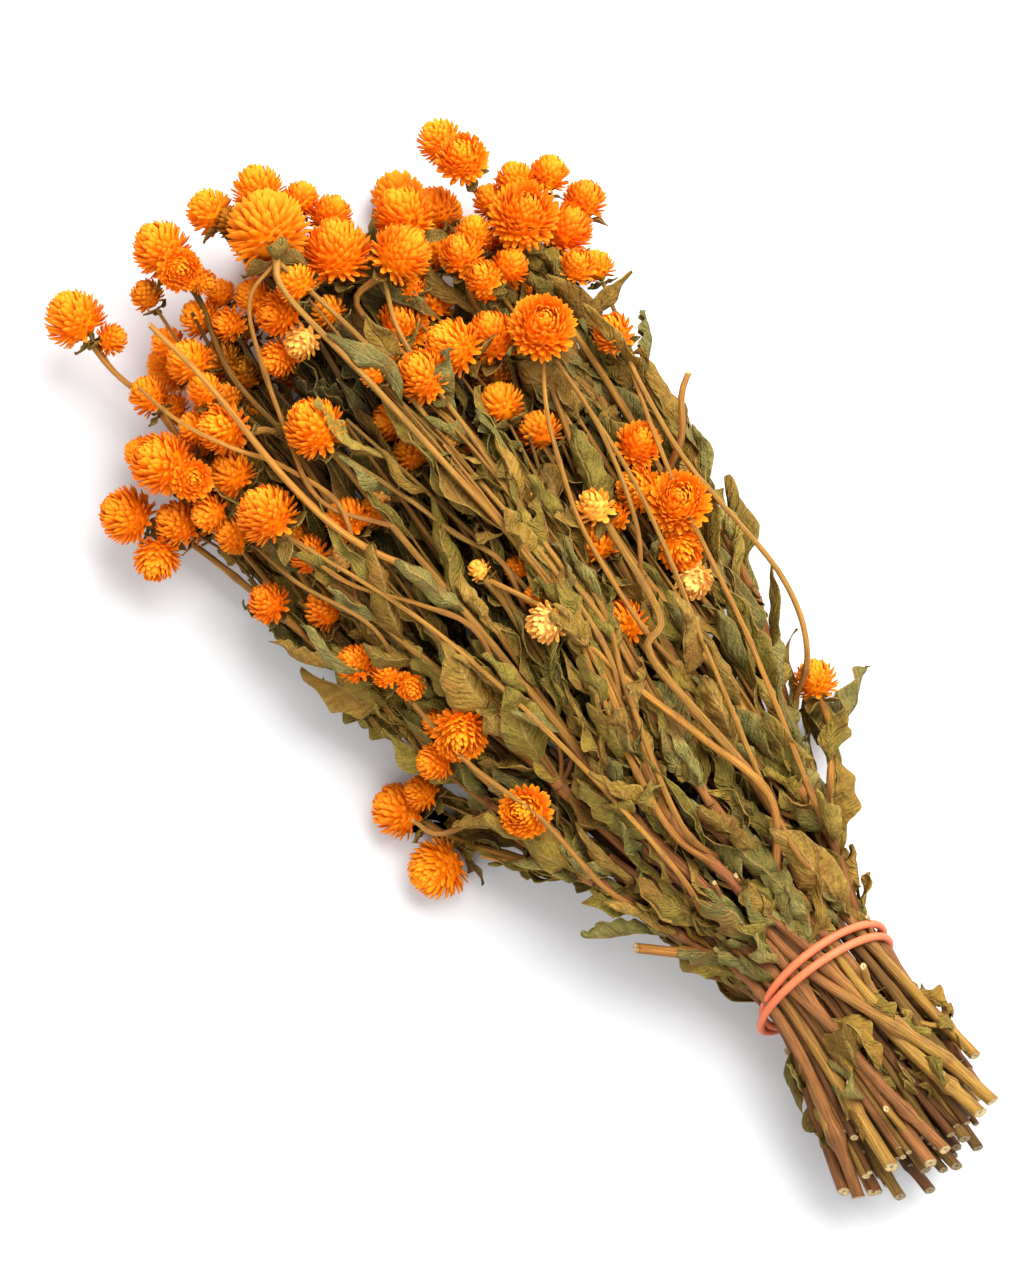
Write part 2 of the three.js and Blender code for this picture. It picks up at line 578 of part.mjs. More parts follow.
// A flower head: a faceted ball with a pointed bract raised on each face, except at its foot.
// The bracts lean towards the top of the head.
function headSolid(h, random) {
  const { around, rings } = headKinds.find(({ upTo }) => h.width < upTo);
  const core = (coreShare * h.width) / 2;
  const spin = random() * Math.PI;
  const points = [new THREE.Vector3(0, 0, core)];
  for (let ring = 0; ring < rings; ring++) {
    const polar = (Math.PI * (ring + 1)) / (rings + 1);
    for (let k = 0; k < around; k++) {
      const angle = spin + (2 * Math.PI * (k + ring / 2)) / around;
      const onBall = [Math.sin(polar) * Math.cos(angle), Math.sin(polar) * Math.sin(angle), Math.cos(polar)];
      points.push(vector(onBall).multiplyScalar(core));
    }
  }
  points.push(new THREE.Vector3(0, 0, -core));
  const foot = points.length - 1;
  const at = (ring, k) => 1 + ring * around + (k % around);
  const bracts = [];
  const faces = [];
  for (let k = 0; k < around; k++) {
    bracts.push([0, at(0, k), at(0, k + 1)]);
    for (let ring = 0; ring + 1 < rings; ring++) {
      bracts.push([at(ring, k), at(ring + 1, k), at(ring, k + 1)]);
      bracts.push([at(ring, k + 1), at(ring + 1, k), at(ring + 1, k + 1)]);
    }
    faces.push([foot, at(rings - 1, k + 1), at(rings - 1, k)]);
  }
  for (const [a, b, c] of bracts) {
    const tip = points[a].clone().add(points[b]).add(points[c]).normalize();
    tip.z += bractLean;
    tip.setLength((h.width / 2) * between([0.93, 1], random()));
    points.push(tip);
    const t = points.length - 1;
    faces.push([a, b, t], [b, c, t], [c, a, t]);
  }
  const turn = new THREE.Quaternion().setFromUnitVectors(new THREE.Vector3(0, 0, 1), facing(h));
  for (const point of points) point.applyQuaternion(turn).add(h.middle);
  return solidOf(points, faces);
}

// Neighbouring heads are flattened against each other, as on the bunch. Those of one piece
// still share a little, and those of different pieces stay clear.
function pressHead(h, solid) {
  let pressed = solid;
  for (const group of groups) {
    const gap = group.includes(h) ? -sharedByHeads : clearance;
    for (const other of group) {
      const apart = other.middle.clone().sub(h.middle);
      const distance = apart.length();
      if (other === h || distance > (h.width + other.width) / 2 + gap) continue;
      const border = (distance + (h.width - other.width) / 2 - gap) / 2;
      const inward = apart.normalize().negate();
      pressed = pressed.trimByPlane(inward.toArray(), inward.dot(h.middle) - border);
    }
  }
  return pressed.trimByPlane([0, 0, 1], 0);
}

function leafSolid({ root, to, width, rise, turn, twist, fold, profile, out = upward }, wave) {
  const middle = root.clone().lerp(to, 0.4).addScaledVector(out, rise);
  const curve = new THREE.QuadraticBezierCurve3(root, middle, to);
  const rings = profile.map(([place, share], i) => {
    const point = curve.getPoint(place);
    const along = curve.getTangent(place);
    const level = upward.clone().cross(along).normalize().negate();
    const side = level.applyAxisAngle(along, turn + twist * (place - 0.5));
    const normal = along.clone().cross(side);
    const half = (width * share) / 2;
    const lift = fold * width * share;
    const ripple = wave * width * (i % 2 ? 1 : -1);
    return [
      point.clone().addScaledVector(side, half).addScaledVector(normal, lift + ripple),
      point.clone().addScaledVector(normal, leafThickness / 2),
      point.clone().addScaledVector(side, -half).addScaledVector(normal, lift - ripple),
      point.clone().addScaledVector(normal, -leafThickness / 2),
    ];
  });
  return ringSolid(rings, root, to);
}

// The band is one loop that goes round twice, so that it closes on itself.
function bandSolid() {
  const { along, across: middle, height, halfWidth, halfHeight, lean } = band;
  const points = [];
  const faces = [];
  const at = (span, k) => (span % band.spans) * band.sides + (k % band.sides);
  for (let span = 0; span < band.spans; span++) {
    const turn = (4 * Math.PI * span) / band.spans;
    const angle = turn + band.crossingAngle;
    const out = new THREE.Vector3(0, Math.cos(angle), Math.sin(angle));
    const lift = band.lift * Math.sin(turn / 2);
    const centre = new THREE.Vector3(
      along + lean * out.z + band.spread * Math.cos(turn / 2),
      middle + (halfWidth + lift) * out.y,
      height + (halfHeight + lift) * out.z,
    );
    for (let k = 0; k < band.sides; k++) {
      const round = (2 * Math.PI * k) / band.sides;
      const point = centre.clone().addScaledVector(out, band.strandRadius * Math.cos(round));
      point.x += band.strandRadius * Math.sin(round);
      points.push(point);
      const [a, b, c, d] = [at(span, k), at(span, k + 1), at(span + 1, k + 1), at(span + 1, k)];
      faces.push([a, c, b], [a, d, c]);
    }
  }
  return solidOf(points, faces).trimByPlane([0, 0, 1], 0);
}

const join = (solids) => wasm.Manifold.union(solids);

// The largest piece of a solid: what a cut leaves loose is dropped.
function largest(solid) {
  const pieces = solid.simplify(smallest).decompose();
  return pieces.sort((a, b) => b.volume() - a.volume())[0] ?? solid;
}

// Whether two solids come nearer than the clearance.
function tooNear(a, b) {
  const [boxA, boxB] = [a.boundingBox(), b.boundingBox()];
  for (let axis = 0; axis < 3; axis++) {
    if (boxA.min[axis] > boxB.max[axis] + clearance) return false;
    if (boxB.min[axis] > boxA.max[axis] + clearance) return false;
  }
  return a.minGap(b, clearance) < clearance - 1e-3;
}

const random = randomNumbers(randomSeed);
const groups = [...Object.values(headGroups), ...budsOnStems.map((bud) => [bud])];
const allHeads = groups.flat();
settleHeads(groups);
const layout = layStrands(allHeads);
settleStrands(layout, allHeads);

const strandSolids = layout.strands.map((strand) => {
  const points = strand.indices.map((i) => layout.vertices[i].point);
  const radii = strand.indices.map((i) => layout.vertices[i].radius);
  const sides = strand.head ? stalkSides : stemSides;
  // A stalk stops just short of its head.
  const end = points.length - 1;
  const stop = points[end].clone().lerp(points[end - 1], strand.head ? clearance / approachLength : 0);
  const grown = radii.map((r) => r / Math.cos(Math.PI / sides) + clearance);
  return {
    ...strand,
    solid: tube([...points.slice(0, end), stop], radii, sides),
    room: tube(points, grown, sides),
  };
});

const headOf = new Map(allHeads.map((h) => [h, pressHead(h, headSolid(h, random))]));

// Takes the room of the stems that press into a head out of it.
function groove(solid, keepStem) {
  let grooved = solid;
  const box = solid.boundingBox();
  for (const { stem, room } of strandSolids) {
    if (stem === keepStem) continue;
    const reach = room.boundingBox();
    const clear = [0, 1, 2].some((i) => reach.min[i] > box.max[i] || reach.max[i] < box.min[i]);
    if (!clear) grooved = grooved.subtract(room);
  }
  return grooved;
}

const solids = {};
for (const [name, group] of Object.entries(headGroups)) {
  const pieces = group.map((h) => headOf.get(h));
  group.slice(1).forEach((h, i) => {
    const distance = (other) => other.middle.distanceTo(h.middle);
    const neighbour = group.slice(0, i + 1).sort((a, b) => distance(a) - distance(b))[0];
    const fused = (coreShare * (h.width + neighbour.width)) / 2 - coreOverlap;
    if (distance(neighbour) < fused) return;
    pieces.push(tube([h.middle, neighbour.middle], [linkRadius, linkRadius], stalkSides));
  });
  solids[name] = largest(groove(join(pieces)));
}
solids.rubber_band = bandSolid();

for (const name of Object.keys(stems)) {
  const own = strandSolids.filter(({ stem }) => stem === name);
  const trunk = own.find(({ head: h }) => !h);
  const fork = layout.vertices[trunk.indices.at(-1)];
  const pieces = own.map(({ solid }) => solid);
  pieces.push(ball(fork.point, fork.radius * jointSwelling));
  for (const { head: h } of own) {
    if (budsOnStems.includes(h)) pieces.push(groove(headOf.get(h), name), budSeat(h));
  }
  solids[name] = largest(join(pieces));
}

// A bud's foot is one piece with its stalk.
function budSeat(h) {
  const seat = h.middle.clone().addScaledVector(facing(h), (-coreShare * h.width) / 2 - 1);
  return tube([seat, h.middle], [seatRadius, seatRadius], stalkSides);
}

// The nearest point of a stem's own strands to a place.
function rootOn(stem, place) {
  let best = null;
  for (const { stem: name, indices } of layout.strands) {
    if (name !== stem) continue;
    for (let i = 1; i < indices.length; i++) {
      const [p0, p1] = [layout.vertices[indices[i - 1]].point, layout.vertices[indices[i]].point];
      const { s, apart } = nearest(p0, p1, place, place.clone().add(tiny));
      if (!best || apart.length() < best.distance) {
        best = { distance: apart.length(), point: p0.clone().lerp(p1, s) };
      }
    }
  }
  return best.point;
}

function randomLeaves(stem) {
  const strands = layout.strands.filter(({ stem: name }) => name === stem);
  const leaves = [];
  for (let k = 0; k < leafRule.perStem; k++) {
    const draws = Array.from({ length: 10 }, random);
    const { indices } = strands[Math.floor(draws[0] * strands.length)];
    const place = draws[1] * (indices.length - 1);
    const i = Math.min(indices.length - 2, Math.floor(place));
    const [p0, p1] = [layout.vertices[indices[i]].point, layout.vertices[indices[i + 1]].point];
    const root = p0.clone().lerp(p1, place - i);
    const around = THREE.MathUtils.degToRad(between([-leafRule.around, leafRule.around], draws[2]));
    const lean = THREE.MathUtils.degToRad(between(leafRule.lean, draws[3]));
    const out = new THREE.Vector3(0, root.y - bunchAxis.across, root.z - bunchAxis.height).normalize();
    out.applyAxisAngle(new THREE.Vector3(1, 0, 0), around);
    const along = p1.clone().sub(p0).normalize();
    const direction = along.multiplyScalar(Math.cos(lean)).addScaledVector(out, Math.sin(lean));
    const length = between(leafRule.length, draws[4]);
    leaves.push({
      root,
      to: root.clone().addScaledVector(direction.normalize(), length),
      width: between(leafRule.width, draws[5]),
      rise: between([2, 7], draws[6]),
      out,
      turn: Math.atan2(-out.y, out.z) + between([-0.6, 0.6], draws[7]),
      twist: between([-0.6, 0.9], draws[8]),
      fold: between([0.05, 0.4], draws[9]),
    });
  }
  return leaves.filter(({ root }) => root.x > leafRule.from && root.x < leafRule.to);
}

// A leaf is kept where nothing but its own stem is in its way.
const placed = namedLeaves.map((spec) => ({
  ...spec,
  root: rootOn(spec.stem, spec.from),
  profile: leafProfiles.named,
}));
for (const stem of Object.keys(stems)) {
  placed.push(...randomLeaves(stem).map((spec) => ({ ...spec, stem, profile: leafProfiles.random })));
}
const leavesOf = {};
for (const spec of placed) {
  const solid = leafSolid(spec, between([0.02, 0.1], random()));
  if (solid.boundingBox().min[2] < clearance) continue;
  const others = Object.entries(solids).filter(([name]) => name !== spec.stem);
  const nearLeaves = Object.entries(leavesOf).flatMap(([name, list]) => (name === spec.stem ? [] : list));
  if (others.some(([, other]) => tooNear(solid, other))) continue;
  if (nearLeaves.some((other) => tooNear(solid, other))) continue;
  const ownLeaves = leavesOf[spec.stem] ?? [];
  if (solid.intersect(solids[spec.stem]).volume() > rootVolume) continue;
  if (ownLeaves.some((other) => solid.intersect(other).volume() > 0)) continue;
  (leavesOf[spec.stem] ??= []).push(solid);
}
for (const [stem, leaves] of Object.entries(leavesOf)) {
  solids[stem] = largest(join([solids[stem], ...leaves]));
}

const finish = (color, roughness) => new THREE.MeshStandardMaterial({ color, roughness, metalness: 0 });
const materials = {
  heads: finish(0xd9671e, 0.85),
  stems: finish(0x8a7050, 0.9),
  rubber_band: finish(0xd9775a, 0.65),
};

function toMesh(name, solid) {
  const { vertProperties, triVerts } = solid.getMesh();
  const geometry = new THREE.BufferGeometry();
  geometry.setAttribute("position", new THREE.BufferAttribute(new Float32Array(vertProperties), 3));
  geometry.setIndex(new THREE.BufferAttribute(new Uint32Array(triVerts), 1));
  geometry.computeVertexNormals();
  const kind = name.startsWith("head") ? "heads" : name.startsWith("stem") ? "stems" : name;
  const mesh = new THREE.Mesh(geometry, materials[kind]);
  mesh.name = name;
  return mesh;
}

const bunch = new THREE.Group();
for (const [name, solid] of Object.entries(solids)) bunch.add(toMesh(name, solid));
bunch.position.set(-band.foot, -band.across, 0);

export default bunch;
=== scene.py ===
import copy
import math

import bmesh
import bpy
import numpy as np
from mathutils import Matrix, Quaternion, Vector, noise


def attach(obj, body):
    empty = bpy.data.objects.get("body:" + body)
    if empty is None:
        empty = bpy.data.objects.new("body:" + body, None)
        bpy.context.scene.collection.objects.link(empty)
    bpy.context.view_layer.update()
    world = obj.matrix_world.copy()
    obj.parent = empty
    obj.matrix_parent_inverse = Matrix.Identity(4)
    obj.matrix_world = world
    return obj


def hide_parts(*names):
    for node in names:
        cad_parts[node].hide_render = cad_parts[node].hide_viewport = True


# A tied bunch of dried orange globe amaranth, lying on its side. It is laid out in millimetres, with X
# from the cut ends to the flowers, Y across and Z up, and written to the meshes in metres.
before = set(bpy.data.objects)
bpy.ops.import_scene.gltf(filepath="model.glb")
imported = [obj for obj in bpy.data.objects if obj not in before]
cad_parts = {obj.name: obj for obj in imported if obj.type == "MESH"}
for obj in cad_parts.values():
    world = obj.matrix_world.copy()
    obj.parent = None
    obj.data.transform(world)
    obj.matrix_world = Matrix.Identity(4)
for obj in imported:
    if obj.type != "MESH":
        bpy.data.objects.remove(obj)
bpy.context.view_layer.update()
originShift = (-63.4, 11, 0)
millimetre = 0.001

# Each flowering stem: cut end, place under the band, first fork, radius, and if it is an inner one.
stems = {
    "stem_left_short": ((28, 20, 38), (9, 34.5), (152, 33, 42), 2.4, False),
    "stem_left_low": ((8, 29, 28), (11.3, 27.5), (196, 47, 32), 2.2, False),
    "stem_left_edge": ((0, 21, 18), (9.3, 17.9), (228, 55, 22), 2.2, False),
    "stem_left_top": ((7, 10, 43), (4.3, 39.7), (186, 26, 52), 2.4, False),
    "stem_left_inner": ((-6, 14, 26), (5.6, 31), (228, 33, 38), 2.1, True),
    "stem_left_deep": ((-12, 4, 17), (5.3, 20.3), (232, 24, 26), 2.0, True),
    "stem_middle_top": ((0, -2, 44), (-1.9, 43.2), (164, 9, 58), 2.3, False),
    "stem_middle_left": ((-3, 1, 31), (-1.6, 38.6), (224, 8, 44), 2.0, True),
    "stem_crossing": ((3, -27, 40), (-11.8, 44.8), (155, 0, 62), 2.5, False),
    "stem_middle": ((2, -8, 37), (-11.6, 40), (214, -8, 48), 2.3, True),
    "stem_middle_deep": ((-10, -9, 22), (-2.5, 13.1), (228, -4, 30), 2.0, True),
    "stem_right_top": ((-2, -17, 34), (-21.5, 42.6), (150, -16, 58), 2.2, False),
    "stem_right_inner": ((-9, -19, 25), (-20, 38.5), (214, -27, 42), 2.1, True),
    "stem_slanting": ((19, -38, 30), (-29.3, 36.7), (152, -33, 52), 2.0, False),
    "stem_right_deep": ((-6, -13, 13), (-16, 11), (236, -30, 22), 1.9, True),
    "stem_right_side": ((10, -32, 21), (-33, 29.2), (116, -44, 46), 2.4, False),
    "stem_right_edge": ((4, -29, 15), (-32.6, 21), (178, -63, 34), 2.2, False),
    "stem_right_low": ((8, -22, 9), (-26.8, 12.5), (198, -74, 24), 2.1, False),
    "stem_under_right": ((-4, -10, 5), (-14.1, 7.2), (226, -58, 16), 2.0, False),
    "stem_under_left": ((2, 4, 7), (-1.5, 8.8), (230, 36, 14), 2.0, False),
}

# Each head: place along, across and up, width, degrees it is turned and tipped by, then its stem and
# the places that its stalk passes. A head without a stem sits against the others of its group.
headGroups = {
    "heads_left_corner": [
        (357, 89, 27, 22, 30, 20, "stem_left_edge", (300, 60, 27)),
        (339, 90, 26, 18, 125, 25),
    ],
    "heads_left_large": [
        (363, 67, 47, 24, 20, 30, "stem_left_top", (300, 47, 48)),
        (352, 62, 52, 16, -160, 75),
        (328, 62, 37, 15, 30, 5, "stem_left_edge", (290, 60, 30)),
        (339, 64, 41, 15, 60, 10),
    ],
    "head_left_yellow": [(325, 48, 60, 23, 5, 15, "stem_left_top", (260, 38, 58))],
    "heads_left_middle": [
        (359, 42, 56, 20, 45, 25, "stem_left_inner", (300, 36, 46)),
        (345, 50, 44, 18, 10, 10),
        (366, 50, 46, 14, 30, 0),
        (374, 40, 52, 14, -20, 5),
        (386, 38, 45, 18, 10, 10, "stem_left_inner", (310, 28, 36)),
    ],
    "head_left_far": [(386, 57, 35, 16, 0, 10, "stem_left_inner", (320, 44, 34))],
    "heads_tip_left": [
        (424, 62, 34, 23, 0, 8, "stem_left_deep", (330, 40, 26), (385, 56, 26)),
        (411, 56, 34, 12.5, -110, 10),
    ],
    "heads_tip_middle": [
        (424, 22, 47, 22, 0, 10, "stem_left_deep", (330, 22, 42)),
        (414, 21, 53, 17, 180, 70),
        (406, 17, 49, 10.5, -140, 20),
    ],
    "heads_far_inner": [
        (397, 25, 37, 16, 10, 10, "stem_left_deep", (330, 26, 30)),
        (389, 18, 43, 14, 40, 40),
        (400, 14, 34, 12.5, 0, 0),
    ],
    "heads_centre_far": [
        (380, 3, 55, 17, 45, 40, "stem_middle_left", (320, 6, 52)),
        (391, 6, 44, 15, 20, 10),
        (367, 2, 59, 14, 100, 30),
        (368, 12, 50, 15, 80, 20),
    ],
    "head_tip_back": [(425, 0, 40, 18, 0, -20, "stem_middle_left", (330, 2, 38))],
    "head_top_yellow": [
        (404, -12, 70, 30, -20, -25, "stem_crossing", (205, -9, 68), (250, -14, 70), (320, -13, 74)),
    ],
    "heads_tip_right": [
        (420, -18, 47, 20, -20, 5, "stem_middle", (330, -12, 46)),
        (409, -28, 42, 15, -50, 0),
        (398, -33, 42, 17, -60, 10, "stem_middle", (330, -22, 38)),
    ],
    "head_top_orange": [
        (384, -27, 61, 26, -30, 20, "stem_crossing", (200, -14, 64), (250, -23, 64), (310, -25, 64)),
    ],
    "head_top_drooping": [(370, -44, 66, 23, -80, 15, "stem_right_top", (250, -27, 62), (320, -32, 60))],
    "heads_centre_right": [
        (351, -30, 46, 21, -20, 50, "stem_right_inner", (290, -30, 44)),
        (352, -44, 38, 18, -30, 0),
    ],
    "head_right_far": [(382, -54, 45, 23, -10, 20, "stem_right_inner", (300, -42, 38))],
    "heads_right_stack": [
        (331, -25, 65, 21, 0, 30, "stem_right_top", (240, -20, 62), (290, -23, 62)),
        (333, -40, 61, 22, 20, 20),
        (328, -53, 50, 21, -20, 20),
    ],
    "head_right_round": [(320, -69, 62, 25, -40, 70, "stem_slanting", (225, -36, 58), (290, -55, 56))],
    "heads_right_small": [
        (358, -63, 55, 17, -20, 30, "stem_right_side", (220, -46, 46), (300, -60, 48)),
        (347, -64, 58, 14, 0, 40),
        (362, -71, 48, 15, -40, 0),
        (345, -74, 50, 15, -60, 10),
    ],
    "head_right_large": [(356, -87, 50, 26, -50, 60, "stem_right_edge", (250, -74, 40), (310, -84, 42))],
    "heads_right_tip": [
        (386, -83, 45, 20, -10, 55, "stem_right_edge", (260, -68, 34), (340, -76, 32)),
        (396, -81, 38, 18, 0, 10),
    ],
    "heads_right_corner": [
        (369, -94, 33, 16, -20, 5, "stem_right_low", (280, -86, 26)),
        (364, -105, 30, 16, -50, 10),
        (349, -110, 27, 17, -40, 20),
        (345, -98, 30, 21, -70, 30),
        (331, -93, 37, 15, -30, 40),
    ],
    "head_middle_small": [(326, -7, 50, 15, 60, 30, "stem_middle_top", (240, 2, 56))],
    "head_middle_round": [(339, 16, 66, 23, 0, 25, "stem_middle_top", (230, 12, 64), (300, 11, 64))],
    "heads_left_hidden": [
        (306, 45, 47, 15, 10, 30, "stem_left_low", (250, 48, 38)),
        (298, 37, 44, 12.5, -40, 20),
    ],
    "head_left_upper": [(301, 67, 36, 16, 10, 20, "stem_left_low", (250, 55, 32))],
    "heads_left_side": [
        (265, 55, 44, 15, 20, 30, "stem_left_short", (210, 46, 44)),
        (256, 48, 46, 12.5, 0, 40),
        (247, 44, 47, 11.5, 160, 50),
    ],
    "heads_left_near": [
        (223, 40, 54, 21, 140, 55, "stem_left_short", (196, 38, 43), (220, 34, 37)),
        (220, 53, 44, 15, 60, 20),
    ],
    "head_stray": [(213, 75, 9, 22, 25, 5, "stem_left_short", (172, 50, 22), (190, 63, 11))],
    "head_stray_large": [(188, 76, 10, 24, 80, 4, "stem_left_short", (168, 50, 32))],
    "head_near_band": [(187, 38, 56, 20, 60, 65, "stem_left_short", (168, 37, 50))],
    "head_pale": [(236, -8, 70, 16, 80, 35, "stem_middle_top", (195, 0, 64))],
    "head_bud_pale": [(258, -46, 60, 15, 0, 30, "stem_right_side", (190, -46, 56))],
    "heads_right_near": [
        (242, -71, 52, 24, -30, 75, "stem_right_edge", (205, -68, 46)),
        (229, -62, 47, 18, 170, 45),
        (254, -63, 47, 18, 40, 40),
        (267, -72, 46, 18, -60, 50),
        (217, -59, 45, 15, 120, 50),
    ],
    "head_band_edge": [(161, -73, 28, 17, -20, 10, "stem_right_side", (138, -60, 34))],
    "head_right_leafy": [(304, -89, 44, 16, 0, 35, "stem_right_low", (250, -86, 34))],
    "heads_under_right": [
        (392, -58, 8, 21, -20, -30, "stem_under_right", (300, -56, 12)),
        (378, -66, 7, 18, -90, -40),
        (368, -50, 7, 17, 40, -60),
    ],
    "heads_under_middle": [
        (402, -8, 9, 22, 0, -25, "stem_middle_deep", (320, -5, 18)),
        (386, 2, 8, 18, 60, -50),
        (372, -8, 8, 18, -160, -50),
    ],
    "heads_under_left": [
        (392, 44, 8, 21, 20, -25, "stem_under_left", (310, 42, 13)),
        (376, 38, 8, 18, -60, -45),
    ],
}

# Small heads that are one piece with their stem, written the same way.
budsOnStems = [
    (265, 0, 63, 9, 0, 15, "stem_middle_top", (215, 5, 60)),
    (271, -31, 60, 10, -10, 30, "stem_slanting", (215, -34, 58)),
    (308, -19, 58, 9, 10, 40, "stem_crossing", (250, -19, 62)),
    (308, 11, 54, 10, 30, 20, "stem_left_top", (250, 22, 54)),
    (338, -72, 24, 14, -20, -20, "stem_under_right", (280, -66, 18)),
    (336, 50, 12, 14, 20, -20, "stem_under_left", (280, 46, 16)),
    (300, 18, 10, 13, 0, -30, "stem_under_left", (262, 28, 14)),
    (300, -36, 9, 14, -10, -30, "stem_right_deep", (265, -34, 18)),
    (372, 72, 24, 14, 20, 0, "stem_left_edge", (300, 66, 20)),
    (352, -20, 22, 14, 0, -20, "stem_right_deep", (300, -26, 26)),
]

layout = {
    "seed": 20417,
    "axisAcross": -8,  # leaves grow away from this line
    "axisHeight": 30,
    "restShare": 0.86,  # of a head's radius, from the table up
    "stalkRadius": 0.95,
    "seatRadius": 1.7,
    "stalkStep": 36,
    "approach": 15,  # a stalk's last stretch, in line with its head
    "core": 0.74,
    "touch": 0.93,
    "clearance": 0.3,
    "headRounds": 90,
    "headPush": 0.3,
    "rounds": 140,
    "gap": 0.15,  # between stems that cross
    "nearby": 12,
    "smoothing": 0.06,
    "homing": 0.01,  # how strongly a point is drawn back to its first place
}
band = {
    "along": 73, "across": -11, "height": 25.9, "halfWidth": 27.4, "halfHeight": 23.9, "lean": 11,
    "strandRadius": 1.2, "spread": 2.7, "lift": 1.4, "crossing": 2.6, "grip": 9,
}
# The solids' leaves, and how much shorter and narrower they are here, where they curl.
leafRule = {
    "perStem": 8, "from": 86, "to": 338, "length": (24, 42), "width": (8, 14), "lean": (12, 48),
    "around": 75, "look": {"curl": (1.2, 2.7), "ripple": (0.1, 0.24)}, "shorter": 0.88, "narrower": 0.85,
    # The solids' heads take draws first: up to a width, so many.
    "headDraws": ((14.2, 16), (22.5, 19), (99, 31)),
}


def randomNumbers(seed):
    state = seed
    full = 0xFFFFFFFF

    def draw(low=0.0, high=1.0):
        nonlocal state
        state = (state + 0x6D2B79F5) & full
        t = ((state ^ (state >> 15)) * (1 | state)) & full
        t = ((t + (((t ^ (t >> 7)) * (61 | t)) & full)) & full) ^ t
        return low + (high - low) * (((t ^ (t >> 14)) & full) / 4294967296)

    return draw


def between(pair, share):
    return pair[0] + (pair[1] - pair[0]) * share


def unit(v):
    return v / np.linalg.norm(v)


class Head:
    def __init__(self, along, across, height, width, turned, tipped, stem=None, *via):
        self.key = (along, across)
        self.middle = np.array([along, across, height], float)
        self.width = width
        self.stem = stem
        self.via = via
        turned, tipped = math.radians(turned), math.radians(tipped)
        self.facing = np.array(
            [math.cos(tipped) * math.cos(turned), math.cos(tipped) * math.sin(turned), math.sin(tipped)]
        )


# Heads that overlap are pushed apart, each group as one piece, and none goes into the table.
def settleHeads(groups):
    heads = [h for group in groups for h in group]
    owner = np.array([i for i, group in enumerate(groups) for _ in group])
    middles = np.array([h.middle for h in heads])
    widths = np.array([h.width for h in heads], float)
    i, j = np.triu_indices(len(heads), 1)
    other = owner[i] != owner[j]
    i, j = i[other], j[other]
    wanted = layout["touch"] * (widths[i] + widths[j]) / 2
    for _ in range(layout["headRounds"]):
        apart = middles[j] - middles[i]
        distance = np.linalg.norm(apart, axis=1)
        missing = np.clip(wanted - distance, 0, None)
        push = apart / distance[:, None] * (layout["headPush"] * missing)[:, None]
        moves = np.zeros((len(groups), 3))
        np.add.at(moves, owner[i], -push)
        np.add.at(moves, owner[j], push)
        middles += moves[owner]
        sunk = np.full(len(groups), -1e9)
        np.maximum.at(sunk, owner, layout["restShare"] * widths / 2 - middles[:, 2])
        middles[:, 2] += np.clip(sunk, 0, None)[owner]
    for h, middle in zip(heads, middles):
        h.middle = middle


# How far along their line the points lie.
def travels(points):
    return np.concatenate(([0], np.cumsum(np.linalg.norm(np.diff(points, axis=0), axis=1))))


# Points of a smooth line through others, at shares of its spans.
def smoothLine(points, places):
    p = np.array([2 * points[0] - points[1], *points, 2 * points[-1] - points[-2]])
    last = len(points) - 1
    line = []
    for place in places:
        i = min(int(place * last), last - 1)
        t = place * last - i
        a, b, c, d = p[i], p[i + 1], p[i + 2], p[i + 3]
        t0, t1 = (c - a) / 2, (d - b) / 2
        line.append(b + t0 * t + (3 * (c - b) - 2 * t0 - t1) * t**2 + (2 * (b - c) + t0 + t1) * t**3)
    return np.array(line)


def bandAlong(height):
    return band["along"] + band["lean"] * (height - band["height"]) / band["halfHeight"]


# For each stem a trunk up to its fork, then a stalk to each of its heads.
class Strands:
    def __init__(self, heads):
        self.points, self.radii, self.roles, self.inner, self.strands = [], [], [], [], []
        forks = {}
        for name, (cut, tied, fork, radius, inner) in stems.items():
            along = bandAlong(tied[1])
            through = [cut, (along - band["grip"], *tied), (along + band["grip"], *tied), fork]
            places = (0, 1 / 6, 1 / 3, 2 / 3, 3 / 4, 5 / 6, 11 / 12, 1)
            line = smoothLine(np.array(through, float), places)
            roles = ("held", "free", "tied", "tied", "free", "free", "free", "free")
            indices = [
                self.add(p, between((1, 0.78), place) * radius, role, inner)
                for p, place, role in zip(line, places, roles)
            ]
            forks[name] = indices[-1]
            self.strands.append({"stem": name, "head": None, "indices": indices})
        for h in heads:
            if not h.stem:
                continue
            seat = h.middle - h.facing * layout["core"] * h.width / 2
            approach = seat - h.facing * layout["approach"]
            fork = forks[h.stem]
            through = np.array([self.points[fork], *h.via, approach], float)
            spans = max(2, math.floor(travels(through)[-1] / layout["stalkStep"] + 0.5))
            line = smoothLine(through, [i / spans for i in range(spans + 1)])
            indices = [fork]
            for i, p in enumerate(line[1:]):
                role = "held" if i == spans - 1 else "free"
                indices.append(self.add(p, layout["stalkRadius"] + 0.5 * (1 - i / spans), role))
            indices.append(self.add(seat, layout["seatRadius"], "held"))
            self.strands.append({"stem": h.stem, "head": h, "indices": indices})
        self.points = np.array(self.points)
        self.radii = np.array(self.radii)

    def add(self, point, radius, role, inner=False):
        self.points.append(point)
        self.radii.append(radius)
        self.roles.append(role)
        self.inner.append(inner)
        return len(self.points) - 1

    def line(self, strand):
        return self.points[strand["indices"]], self.radii[strand["indices"]]


def dot(a, b):
    return (a * b).sum(1)


